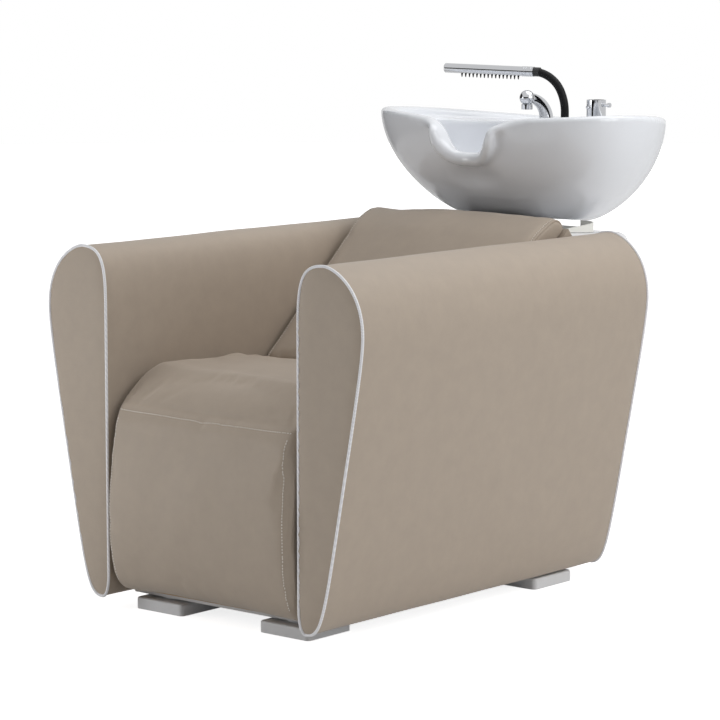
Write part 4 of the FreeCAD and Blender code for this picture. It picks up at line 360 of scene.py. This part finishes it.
for side, label in ((-1, "left"), (1, "right")):
    for end in ("front", "rear"):
        end_panel(side, label, end)

# White cord: a twisted cord of about 5 mm sewn into the seam round both ends of each arm.
# It hides the seam between the wrap and the end panel, and its strands show as a slant grain, with painted
# shade darkening the grooves between them.
CORD_RADIUS = 0.0027
CORD_INSET = 0.0019
CORD_SET_IN = 0.0026
CORD_WHITE = (0.90, 0.90, 0.92)
CORD_GROOVE_SHADE = (0.78, 0.78, 0.81)
CORD_TWIST = (180.0, 1.6, 1.0)
cord_white, tree, shader = finish("white cord", CORD_WHITE, 0.5)
place = tree.nodes.new("ShaderNodeUVMap")
place.uv_map = "UVMap"
twist = tree.nodes.new("ShaderNodeTexWave")
twist.bands_direction = "DIAGONAL"
twist.inputs["Scale"].default_value = 1.0
turn = tree.nodes.new("ShaderNodeMapping")
turn.inputs["Scale"].default_value = CORD_TWIST
strands = tree.nodes.new("ShaderNodeBump")
strands.inputs["Strength"].default_value = 0.4
strands.inputs["Distance"].default_value = 0.0008
# Painted shade: the grooves between the strands are coloured darker, following the same wave as the bump
# height.
groove_shade = tree.nodes.new("ShaderNodeMix")
groove_shade.data_type = "RGBA"
groove_shade.inputs["A"].default_value = (*CORD_GROOVE_SHADE, 1)
groove_shade.inputs["B"].default_value = (*CORD_WHITE, 1)
tree.links.new(place.outputs["UV"], turn.inputs["Vector"])
tree.links.new(turn.outputs["Vector"], twist.inputs["Vector"])
tree.links.new(twist.outputs["Fac"], strands.inputs["Height"])
tree.links.new(twist.outputs["Fac"], groove_shade.inputs["Factor"])
tree.links.new(groove_shade.outputs["Result"], shader.inputs["Base Color"])
tree.links.new(strands.outputs["Normal"], shader.inputs["Normal"])


def ordered(mesh):
    """The corners of a mesh's only face, in order round it."""
    face = next(iter(mesh.faces))
    return [loop.vert.co.copy() for loop in face.loops]


def tube(points, radius, name, material, closed=True, **facts):
    """A round cord along points, made a mesh."""
    curve = bpy.data.curves.new(name, "CURVE")
    curve.dimensions = "3D"
    curve.bevel_depth = radius
    curve.bevel_resolution = 5
    curve.use_fill_caps = True
    spline = curve.splines.new("POLY")
    spline.points.add(len(points) - 1)
    spline.use_cyclic_u = closed
    for point, spot in zip(spline.points, points):
        point.co = (*spot, 1)
    holder = bpy.data.objects.new(name, curve)
    scene.collection.objects.link(holder)
    bpy.context.view_layer.update()
    data = bpy.data.meshes.new_from_object(holder.evaluated_get(bpy.context.evaluated_depsgraph_get()))
    bpy.data.objects.remove(holder)
    mesh = bmesh.new()
    mesh.from_mesh(data)
    return piece_from(mesh, name, material, **facts)


for side, label in ((-1, "left"), (1, "right")):
    for end in ("front", "rear"):
        outline = arm_outline(side, CORD_INSET, steps=24)
        line = ordered(outline)
        outline.free()
        for spot in line:
            spot.y += CORD_SET_IN if end == "front" else ARM_LENGTH - CORD_SET_IN
        tube(line, CORD_RADIUS, "arm_%s_cord_%s" % (end, label), cord_white,
             stands_for=["arm_%s_piping_%s" % (end, label)], slot="piping_cord")

# Seat: one thick cushion, bent over the front of its box, sewn from a top, a front and two sides.
# The cover is puffed by its foam, drawn in at the seams and stitched across the front.
SEAT_HALF = 0.233
COVER_CELL = 0.006
FOAM_PRESSURE = 4.0
FOAM_STEPS = 20
THREAD = (0.80, 0.77, 0.72)


def bake(piece):
    """Applies a piece's modifiers to its mesh."""
    bpy.context.view_layer.update()
    solid = piece.evaluated_get(bpy.context.evaluated_depsgraph_get())
    data = bpy.data.meshes.new_from_object(solid)
    piece.modifiers.clear()
    old = piece.data
    piece.data = data
    bpy.data.meshes.remove(old)


def puffed(name, cad_name, cap):
    """A cushion swollen as cloth from its CAD form, no point moving further than the cap."""
    source = node[cad_name]
    piece = bpy.data.objects.new(name, source.data.copy())
    scene.collection.objects.link(piece)
    mesh = bmesh.new()
    mesh.from_mesh(piece.data)
    bmesh.ops.remove_doubles(mesh, verts=mesh.verts, dist=1e-5)
    mesh.to_mesh(piece.data)
    mesh.free()
    piece.data.materials.clear()
    remesh = piece.modifiers.new("cells", "REMESH")
    remesh.mode = "VOXEL"
    remesh.voxel_size = COVER_CELL
    bake(piece)
    smooth = piece.modifiers.new("even", "SMOOTH")
    smooth.iterations = 4
    bake(piece)
    rest = [v.co.copy() for v in piece.data.vertices]
    cloth = piece.modifiers.new("foam", "CLOTH")
    cloth.settings.use_pressure = True
    cloth.settings.uniform_pressure_force = FOAM_PRESSURE
    cloth.settings.effector_weights.gravity = 0
    cloth.point_cache.frame_end = FOAM_STEPS
    for step in range(1, FOAM_STEPS + 1):
        scene.frame_set(step)
    bake(piece)
    scene.frame_set(1)
    for vert, start in zip(piece.data.vertices, rest):
        way = vert.co - start
        if way.length > cap:
            vert.co = start + way.normalized() * cap
    ease = piece.modifiers.new("ease", "SMOOTH")
    ease.iterations = 2
    bake(piece)
    return piece


def finer(piece):
    """Subdivides a puffed cushion for its seams and folds."""
    step = piece.modifiers.new("finer", "SUBSURF")
    step.levels = 1
    step.render_levels = 1
    bake(piece)


def dressed(piece, body, cad_name):
    """Gives a puffed cushion its hide and its place."""
    piece.data.materials.clear()
    piece.data.materials.append(hide)
    for face in piece.data.polygons:
        face.use_smooth = True
    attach(piece, body)
    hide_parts(cad_name)


def dent(distance, width):
    """How deep a seam pulls the cover in, one on the seam and none beyond its width."""
    run = min(abs(distance) / width, 1.0)
    return (1 - run * run) ** 2


def fold(spot, start, end, width):
    """How deep one fold of the cover runs at a spot: full along its first half, then fading."""
    run = end - start
    along = (spot - start).dot(run) / run.length_squared
    if along < -0.1 or along > 1:
        return 0.0
    away = (spot - start - run * along).length
    return dent(away, width) * min((1 - along) * 1.6, 1.0) * min((along + 0.1) * 8, 1.0)


def stitches(name, line, surface, pitch, thread):
    """Short thread stitches along a line, laid on the nearest surface."""
    skin = bmesh.new()
    skin.from_mesh(surface.data)
    tree_of_faces = BVHTree.FromBMesh(skin)
    skin.free()
    spots = []
    for start, end in zip(line, line[1:]):
        steps = max(int((end - start).length / (pitch / 4)), 1)
        spots += [start.lerp(end, step / steps) for step in range(steps)]
    spots.append(line[-1])
    landed = [tree_of_faces.find_nearest(spot)[:2] for spot in spots]
    mesh = bmesh.new()
    run = 0.0
    due = 0.0
    for (spot, up), (after, _) in zip(landed, landed[1:]):
        run += (after - spot).length
        if run < due:
            continue
        due += pitch
        way = (after - spot).normalized()
        side_way = up.cross(way).normalized()
        turn = Matrix((way, side_way, way.cross(side_way))).transposed().to_4x4()
        size = Matrix.Diagonal((pitch * STITCH_SHARE, thread, thread, 1))
        at = Matrix.Translation(spot + up * STITCH_LIFT)
        bmesh.ops.create_uvsphere(mesh, u_segments=8, v_segments=5, radius=1.0, matrix=at @ turn @ size)
    piece_from(mesh, name, thread_coat, slot="piping_cord")


SEAT_PITCH, SEAT_THREAD = 0.0056, 0.0009
STITCH_LIFT = 0.0004
STITCH_SHARE = 0.36
thread_coat, tree, shader = finish("seam thread", THREAD, 0.6)
textured(tree, shader, speckle, {"Peel Scale": 3000.0, "Cloud Scale": 60.0}, shades(THREAD, 0.08), 0.3,
         0.0002)


def place_of(depth, height, x=0.0):
    """A point from the arms' front plane and the floor."""
    return Vector((x, ARM_FRONT + depth, height))


SEAT_SEAM_HEIGHT = 0.394
SEAT_SEAM_RISE = 0.006
SEAT_SEAM_DEPTH = 0.0022
SEAT_SEAM_WIDTH = 0.009
SEAT_SIDE_SEAM, SEAT_SIDE_SEAM_WIDTH, SEAT_SIDE_SEAM_END = 0.2235, 0.012, 0.47
SEAT_FRONT_DEPTH, SEAT_FRONT_LOW = 0.09, 0.3
SEAT_STITCH_HALF, SEAT_STITCH_DROP = 0.219, 0.004
SEAT_EDGE_STITCH, SEAT_EDGE_FOOT, SEAT_EDGE_RUN = 0.2185, 0.05, 0.335
SEAT_HEM_DROP, SEAT_HEM_HEIGHT = 0.0045, 0.04
SEAT_PUFFS = [
    # middle, half width, height of the fullness between the folds
    (place_of(0.13, 0.455, -0.195), 0.10, 0.010),
    (place_of(0.305, 0.462, -0.195), 0.032, 0.007),
    (place_of(0.375, 0.462, -0.185), 0.026, 0.004),
]


def seam_height(x):
    """The front seam's height, drawn up a little towards the left corner."""
    return SEAT_SEAM_HEIGHT + SEAT_SEAM_RISE * max(-x / SEAT_HALF, 0.0) ** 2


SEAT_FOLDS = [
    # start, end, half width, depth; dips between them read as the folds
    (place_of(0.010, 0.404, -0.212), place_of(0.170, 0.456, -0.186), 0.011, 0.0030),
    (place_of(0.006, 0.400, -0.190), place_of(0.120, 0.450, -0.118), 0.014, 0.0026),
    (place_of(0.006, 0.399, -0.150), place_of(0.090, 0.440, -0.060), 0.016, 0.0016),
    (place_of(0.006, 0.397, 0.210), place_of(0.150, 0.455, 0.160), 0.013, 0.0024),
    (place_of(0.006, 0.397, 0.185), place_of(0.100, 0.445, 0.090), 0.015, 0.0016),
    (place_of(0.430, 0.452, -0.205), place_of(0.300, 0.462, -0.150), 0.016, 0.0046),
    (place_of(0.430, 0.452, -0.150), place_of(0.310, 0.462, -0.120), 0.014, 0.0040),
    (place_of(0.430, 0.452, 0.200), place_of(0.310, 0.462, 0.150), 0.016, 0.0040),
]
seat = puffed("seat_cushion_cover", "seat_cushion", 0.006)
finer(seat)
mesh = bmesh.new()
mesh.from_mesh(seat.data)
mesh.normal_update()
seat_bottom = min(vert.co.z for vert in mesh.verts)
for vert in mesh.verts:
    out = abs(vert.co.x)
    depth = vert.co.y - ARM_FRONT
    side_seam = 0.0
    if depth < SEAT_SIDE_SEAM_END and vert.normal.x ** 2 < 0.9:
        side_seam = dent(out - SEAT_SIDE_SEAM, SEAT_SIDE_SEAM_WIDTH) * SEAT_SEAM_DEPTH
    cross_seam = 0.0
    if depth < SEAT_FRONT_DEPTH and vert.co.z > SEAT_FRONT_LOW:
        cross_seam = dent(vert.co.z - seam_height(vert.co.x), SEAT_SEAM_WIDTH) * SEAT_SEAM_DEPTH
    folds = max(fold(vert.co, start, end, width) * depth for start, end, width, depth in SEAT_FOLDS)
    puff = max(dent((vert.co - middle).length, width) * height for middle, width, height in SEAT_PUFFS)
    vert.co -= vert.normal * (max(side_seam, cross_seam) + folds - puff)
    vert.co.z -= SEAT_HEM_DROP * dent(vert.co.z - seat_bottom, SEAT_HEM_HEIGHT)
wavy(mesh.verts, 11.0, 0.0022, 5.0)
mesh.to_mesh(seat.data)
mesh.free()
dressed(seat, "frame", "seat_cushion")

front_stitch = []
for step in range(-40, 41):
    across = step / 40 * SEAT_STITCH_HALF
    front_stitch.append(place_of(0.0, seam_height(across) - SEAT_STITCH_DROP, across))
stitches("seat_front_stitches", front_stitch, seat, SEAT_PITCH, SEAT_THREAD)
for side, label in ((-1, "left"), (1, "right")):
    edge = [place_of(-0.02, SEAT_EDGE_FOOT + step / 60 * SEAT_EDGE_RUN, side * SEAT_EDGE_STITCH)
            for step in range(61)]
    stitches("seat_edge_stitches_" + label, edge, seat, SEAT_PITCH, SEAT_THREAD)

# Back: a sloping cushion with a rounded shoulder, hide on its board and on the panel behind it.
# A narrow self-welt follows the seam between its face and its sides.
BACK_CROWN = place_of(0.765, 0.705, 0.035)
BACK_CROWN_REACH, BACK_CROWN_HEIGHT = 0.25, 0.0085
BACK_SEAM, BACK_SEAM_WIDTH, BACK_SEAM_DEPTH = 0.2285, 0.009, 0.0018
BACK_WELT_OUT, BACK_WELT_RADIUS = 0.2300, 0.0022
BACK_WELT_STEP = 0.006
BACK_STITCH_IN, BACK_PITCH, BACK_THREAD = 0.006, 0.0052, 0.0005
BACK_LINE = [
    # depth and height of the welt, from the seat over the shoulder and down behind it
    (0.436, 0.440), (0.56, 0.551), (0.688, 0.668), (0.709, 0.684), (0.731, 0.696), (0.750, 0.706),
    (0.768, 0.711), (0.782, 0.709), (0.791, 0.704), (0.798, 0.695), (0.802, 0.680), (0.803, 0.660),
]
back = puffed("back_cushion_cover", "back_cushion", 0.005)
finer(back)
mesh = bmesh.new()
mesh.from_mesh(back.data)
mesh.normal_update()
for vert in mesh.verts:
    if vert.normal.x ** 2 < 0.9:
        vert.co -= vert.normal * dent(abs(vert.co.x) - BACK_SEAM, BACK_SEAM_WIDTH) * BACK_SEAM_DEPTH
    vert.co += vert.normal * dent((vert.co - BACK_CROWN).length, BACK_CROWN_REACH) * BACK_CROWN_HEIGHT
wavy(mesh.verts, 10.0, 0.0018, 9.0)
surface = BVHTree.FromBMesh(mesh)
mesh.to_mesh(back.data)
mesh.free()
dressed(back, "frame", "back_cushion")
coat(hide, "back_board", "back_panel")
for side, label in ((-1, "left"), (1, "right")):
    welt = []
    for (d0, z0), (d1, z1) in zip(BACK_LINE, BACK_LINE[1:]):
        steps = max(int(math.hypot(d1 - d0, z1 - z0) / BACK_WELT_STEP), 1)
        for step in range(steps):
            share = step / steps
            spot = place_of(d0 + (d1 - d0) * share, z0 + (z1 - z0) * share, side * BACK_WELT_OUT)
            found = surface.find_nearest(spot)
            welt.append(found[0] + found[1] * 0.0004)
    tube(welt, BACK_WELT_RADIUS, "back_welt_" + label, hide, closed=False, slot="taupe_leather")
    beside = [spot - Vector((side * BACK_STITCH_IN, 0, 0)) for spot in welt]
    stitches("back_stitches_" + label, beside, back, BACK_PITCH, BACK_THREAD)

# Rear pedestal: a white glossy moulded cover round the column, with a screwed service panel.
# A cream folded-sheet collar stands on it round the tilt bracket.
WHITE = (0.83, 0.83, 0.84)
white_gloss, tree, shader = finish("white gloss", WHITE, 0.16)
textured(tree, shader, speckle, {"Peel Scale": 260.0, "Cloud Scale": 5.0}, shades(WHITE, 0.012), 0.03,
         0.0005, (0.13, 0.2))
shader.inputs["Coat Weight"].default_value = 0.5
shader.inputs["Coat Roughness"].default_value = 0.06
coat(white_gloss, "rear_cover", "service_panel")
CREAM = (0.86, 0.86, 0.81)
cream_coat, tree, shader = finish("cream coat", CREAM, 0.4)
textured(tree, shader, speckle, {"Peel Scale": 900.0, "Cloud Scale": 8.0}, shades(CREAM, 0.04), 0.12, 0.0004)
coat(cream_coat, "collar")

# Basin: a slip-cast bowl, fired with a thick white glaze that softens every edge.
# A rolled bead of clay runs round its neck notch, thick below and fading up both shoulders.
GLAZE = (0.80, 0.82, 0.86)
GLAZE_CELL = 0.0042
NOTCH_BEAD = [
    # sideways, depth from the arms' front, height, radius
    (0.0, 0.775, 0.8185, 0.0155),
    (0.028, 0.774, 0.8195, 0.0155),
    (0.050, 0.770, 0.830, 0.015),
    (0.064, 0.764, 0.848, 0.014),
    (0.070, 0.761, 0.864, 0.0115),
    (0.0715, 0.761, 0.874, 0.0105),
    (0.0745, 0.764, 0.8810, 0.0095),
    (0.081, 0.769, 0.8845, 0.0080),
    (0.096, 0.777, 0.8865, 0.0065),
    (0.114, 0.786, 0.8880, 0.0050),
]
NOTCH_SET_BACK, NOTCH_SET_BACK_HALF = 0.018, 0.078
BEAD_STEPS = 8
BEAD_CALM = 0.005
BEAD_FADE = 0.030
BEAD_EASINGS, GLAZE_EASINGS = 18, 4
WALL_REACH = 0.006
glaze, tree, shader = finish("white glaze", GLAZE, 0.18)
textured(tree, shader, speckle, {"Peel Scale": 120.0, "Cloud Scale": 4.0}, shades(GLAZE, 0.012), 0.02,
         0.0006, (0.15, 0.21))
shader.inputs["Coat Weight"].default_value = 0.5
shader.inputs["Coat Roughness"].default_value = 0.05


def bead():
    """The rolled bead as a tube of changing thickness, and the points it follows."""
    line = [(-x, *rest) for x, *rest in NOTCH_BEAD[:0:-1]] + NOTCH_BEAD
    curve = bpy.data.curves.new("bead line", "CURVE")
    curve.dimensions = "3D"
    curve.bevel_depth = 1.0
    curve.bevel_resolution = 6
    curve.resolution_u = 8
    curve.use_fill_caps = True
    spline = curve.splines.new("NURBS")
    spline.points.add(len(line) - 1)
    for point, (x, depth, height, radius) in zip(spline.points, line):
        point.co = (*place_of(depth, height, x), 1)
        point.radius = radius
    spline.order_u = 3
    spline.use_endpoint_u = True
    holder = bpy.data.objects.new("bead line", curve)
    scene.collection.objects.link(holder)
    bpy.context.view_layer.update()
    data = bpy.data.meshes.new_from_object(holder.evaluated_get(bpy.context.evaluated_depsgraph_get()))
    bpy.data.objects.remove(holder)
    return data, line


def eased(share):
    """A soft step from none to one."""
    held = min(max(share, 0.0), 1.0)
    return held * held * (3 - 2 * held)


def glazed_basin():
    """The bowl with its bead run in: cast as one skin, eased round the bead, true elsewhere."""
    bead_mesh, line = bead()
    mesh = bmesh.new()
    mesh.from_mesh(node["basin"].data)
    bmesh.ops.remove_doubles(mesh, verts=mesh.verts, dist=1e-5)
    wall = BVHTree.FromBMesh(mesh)
    mesh.from_mesh(bead_mesh)
    data = bpy.data.meshes.new("basin_bowl")
    mesh.to_mesh(data)
    mesh.free()
    piece = bpy.data.objects.new("basin_bowl", data)
    scene.collection.objects.link(piece)
    cast = piece.modifiers.new("cast", "REMESH")
    cast.mode = "VOXEL"
    cast.voxel_size = GLAZE_CELL
    bake(piece)
    mesh = bmesh.new()
    mesh.from_mesh(piece.data)
    way = KDTree(len(line) * BEAD_STEPS)
    radii = []
    for (x0, d0, h0, r0), (x1, d1, h1, r1) in zip(line, line[1:]):
        for step in range(BEAD_STEPS):
            share = step / BEAD_STEPS
            spot = place_of(d0, h0, x0).lerp(place_of(d1, h1, x1), share)
            way.insert(spot, len(radii))
            radii.append(r0 + (r1 - r0) * share)
    way.balance()

    def nearness(spot):
        """One on and beside the bead, fading to none on the plain bowl."""
        _, number, gap = way.find(spot)
        run = (gap - radii[number] - BEAD_CALM) / BEAD_FADE
        return 1.0 - min(max(run, 0.0), 1.0) ** 2

    near = {vert: nearness(vert.co) for vert in mesh.verts if vert.co.y < ARM_FRONT + 0.87}
    close = [vert for vert, share in near.items() if share > 0.15]
    for _ in range(BEAD_EASINGS):
        bmesh.ops.smooth_vert(mesh, verts=close, factor=0.5, use_axis_x=True, use_axis_y=True,
                              use_axis_z=True)
    for vert in mesh.verts:
        free = near.get(vert, 0.0)
        spot, _, _, gap = wall.find_nearest(vert.co)
        if free < 1.0 and gap < WALL_REACH:
            vert.co = vert.co.lerp(spot, 1.0 - free)
    for _ in range(GLAZE_EASINGS):
        bmesh.ops.smooth_vert(mesh, verts=mesh.verts, factor=0.5, use_axis_x=True, use_axis_y=True,
                              use_axis_z=True)
    for vert in mesh.verts:
        above = eased((vert.co.z - 0.74) / 0.07)
        before = eased((ARM_FRONT + 0.95 - vert.co.y) / 0.12)
        vert.co.y += NOTCH_SET_BACK * dent(vert.co.x, NOTCH_SET_BACK_HALF) * above * before
    mesh.to_mesh(piece.data)
    mesh.free()
    piece.data.materials.clear()
    piece.data.materials.append(glaze)
    for face in piece.data.polygons:
        face.use_smooth = True
    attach(piece, "basin_unit")
    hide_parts("basin")


glazed_basin()

# Nuts, bush, trap and caps: moulded in black plastic and run up by hand under the basin and its deck.
# Only the hose's ferrule and the mixer's cap show from the front.
BLACK_PLASTIC = (0.018, 0.018, 0.019)
BLACK_PLASTIC_SHADES = ((0.014, 0.014, 0.015), (0.026, 0.026, 0.027))
black_plastic, tree, shader = finish("black plastic", BLACK_PLASTIC, 0.45)
textured(tree, shader, speckle, {"Peel Scale": 1500.0, "Cloud Scale": 20.0}, BLACK_PLASTIC_SHADES, 0.15,
         0.0003)
coat(black_plastic, "mixer_nut", "spout_nut", "hose_nut", "hose_bush", "waste_nut", "waste_trap",
     "hose_ferrule", "mixer_cap")

# Taps and waste: chromed brass mixer with pin lever, swivelling spout with aerator, and spray bar.
# They stand in bores of the deck; the waste and its strainer sit in the floor of the bowl.
CHROME = (0.66, 0.67, 0.69)
chrome, tree, shader = finish("chrome", CHROME, 0.06, 1.0)
textured(tree, shader, speckle, {"Peel Scale": 500.0, "Cloud Scale": 30.0}, shades(CHROME, 0.03), 0.015,
         0.0003, (0.04, 0.10))
coat(chrome, "waste_body", "waste_strainer", "mixer_body", "mixer_handle", "mixer_lever_pins", "spout_foot",
     "spout", "aerator", "spray_collar", "spray_bar", "spray_end_cap")

# Hose and nozzles: smooth black rubber. The hose holds its own bend over a sprung core.
# The nozzles are pushed through the spray bar from inside.
RUBBER = (0.012, 0.012, 0.013)
RUBBER_SHADES = ((0.004, 0.004, 0.005), (0.010, 0.010, 0.011))
black_rubber, tree, shader = finish("black rubber", RUBBER, 0.5)
shader.inputs["Specular IOR Level"].default_value = 0.2
textured(tree, shader, speckle, {"Peel Scale": 1800.0, "Cloud Scale": 25.0}, RUBBER_SHADES, 0.2, 0.0003,
         (0.4, 0.6))
coat(black_rubber, "spray_hose", "spray_nozzles")

# Studio: a plain white floor that keeps the soft shadow, a white surround and large soft lamps.
# Floor and surround are white to the camera, and softer in the gloss of the glaze and the chrome.
FLOOR_WHITE = (0.84, 0.84, 0.84)
FLOOR_LIFT, FLOOR_IN_GLOSS = 0.80, 0.12
SURROUND_LIGHT, SURROUND_IN_GLOSS = 0.58, 0.5
mesh = bmesh.new()
bmesh.ops.create_circle(mesh, cap_ends=True, segments=96, radius=14)
data = bpy.data.meshes.new("floor")
mesh.to_mesh(data)
mesh.free()
floor = bpy.data.objects.new("floor", data)
scene.collection.objects.link(floor)
floor_white, tree, shader = finish("floor white", FLOOR_WHITE, 0.9)


def background_rays(tree, mirrored_share):
    """One for rays that see the background straight or through glass, a share of it in mirrors."""
    path = tree.nodes.new("ShaderNodeLightPath")
    seen = tree.nodes.new("ShaderNodeMath")
    seen.operation = "MAXIMUM"
    tree.links.new(path.outputs["Is Camera Ray"], seen.inputs[0])
    tree.links.new(path.outputs["Is Transmission Ray"], seen.inputs[1])
    rays = tree.nodes.new("ShaderNodeMath")
    rays.operation = "MULTIPLY_ADD"
    rays.inputs[1].default_value = mirrored_share
    tree.links.new(path.outputs["Is Glossy Ray"], rays.inputs[0])
    tree.links.new(seen.outputs["Value"], rays.inputs[2])
    return rays.outputs["Value"]


lift = tree.nodes.new("ShaderNodeMath")
lift.operation = "MULTIPLY"
lift.inputs[1].default_value = FLOOR_LIFT
tree.links.new(background_rays(tree, FLOOR_IN_GLOSS), lift.inputs[0])
shader.inputs["Emission Color"].default_value = (1, 1, 1, 1)
tree.links.new(lift.outputs["Value"], shader.inputs["Emission Strength"])
data.materials.append(floor_white)

world = bpy.data.worlds.new("surround")
scene.world = world
world.use_nodes = True
tree = world.node_tree
background = tree.nodes["Background"]
strength = tree.nodes.new("ShaderNodeMapRange")
strength.inputs["To Min"].default_value = SURROUND_LIGHT
strength.inputs["To Max"].default_value = 1.0
tree.links.new(background_rays(tree, SURROUND_IN_GLOSS), strength.inputs["Value"])
tree.links.new(strength.outputs["Result"], background.inputs["Strength"])
background.inputs["Color"].default_value = (1, 1, 1, 1)


def lamp(name, place, aim, size, power):
    """A soft rectangular lamp aimed at a point."""
    light = bpy.data.lights.new(name, "AREA")
    light.shape = "RECTANGLE"
    light.size, light.size_y = size
    light.energy = power
    holder = bpy.data.objects.new(name, light)
    scene.collection.objects.link(holder)
    way = Vector(aim) - Vector(place)
    holder.matrix_world = Matrix.Translation(place) @ way.to_track_quat("-Z", "Y").to_matrix().to_4x4()


lamp("lamp over", (0.7, 0.9, 3.1), (0, 0.1, 0.5), (2.6, 2.6), 35)
lamp("lamp right", (3.4, 0.4, 1.9), (0, 0, 0.5), (2.0, 2.2), 32)
lamp("lamp left", (-1.3, -1.7, 0.55), (-0.3, -0.63, 0.35), (0.8, 1.0), 8)

# Two black flags: one at the left, one as the dark room behind the camera, which looks past them.
# They calm those sides and give the chrome its dark edges.
FLAG_BLACK = (0.012, 0.012, 0.012)
flag_black = finish("flag black", FLAG_BLACK, 0.9)[0]


def flag(name, place, aim, half_width, half_height):
    """A black screen standing upright and turned to a point."""
    way = Vector((aim[0] - place[0], aim[1] - place[1], 0.0))
    turn = way.to_track_quat("Z", "Y").to_matrix().to_4x4()
    size = Matrix.Diagonal((half_width, half_height, 1, 1))
    mesh = bmesh.new()
    bmesh.ops.create_grid(mesh, x_segments=1, y_segments=1, size=1.0,
                          matrix=Matrix.Translation(place) @ turn @ size)
    data = bpy.data.meshes.new(name)
    mesh.to_mesh(data)
    mesh.free()
    data.materials.append(flag_black)
    screen = bpy.data.objects.new(name, data)
    scene.collection.objects.link(screen)
    screen.visible_camera = False
    screen.visible_transmission = False


flag("flag left", (-2.3, -0.3, 1.3), (0.0, -0.3), 1.4, 1.2)
flag("flag behind the camera", (1.6, -6.1, 1.25), (0.0, 0.0), 6.0, 1.25)

# Camera: a long lens from the front right, slightly above the arms, as in the photograph.
# Its place is given from the arms' front plane, and it looks down a little.
CAMERA_LENS = 147.95
CAMERA_PLACE = (3.6403, ARM_FRONT - 3.8579, 1.2130)
CAMERA_DOWN, CAMERA_ROUND = 7.702, 40.183
camera = bpy.data.cameras.new("camera")
camera.sensor_width = 36.0
camera.lens = CAMERA_LENS
camera.clip_end = 60
holder = bpy.data.objects.new("camera", camera)
holder.location = CAMERA_PLACE
holder.rotation_euler = (math.radians(90 - CAMERA_DOWN), 0, math.radians(CAMERA_ROUND))
scene.collection.objects.link(holder)
scene.camera = holder
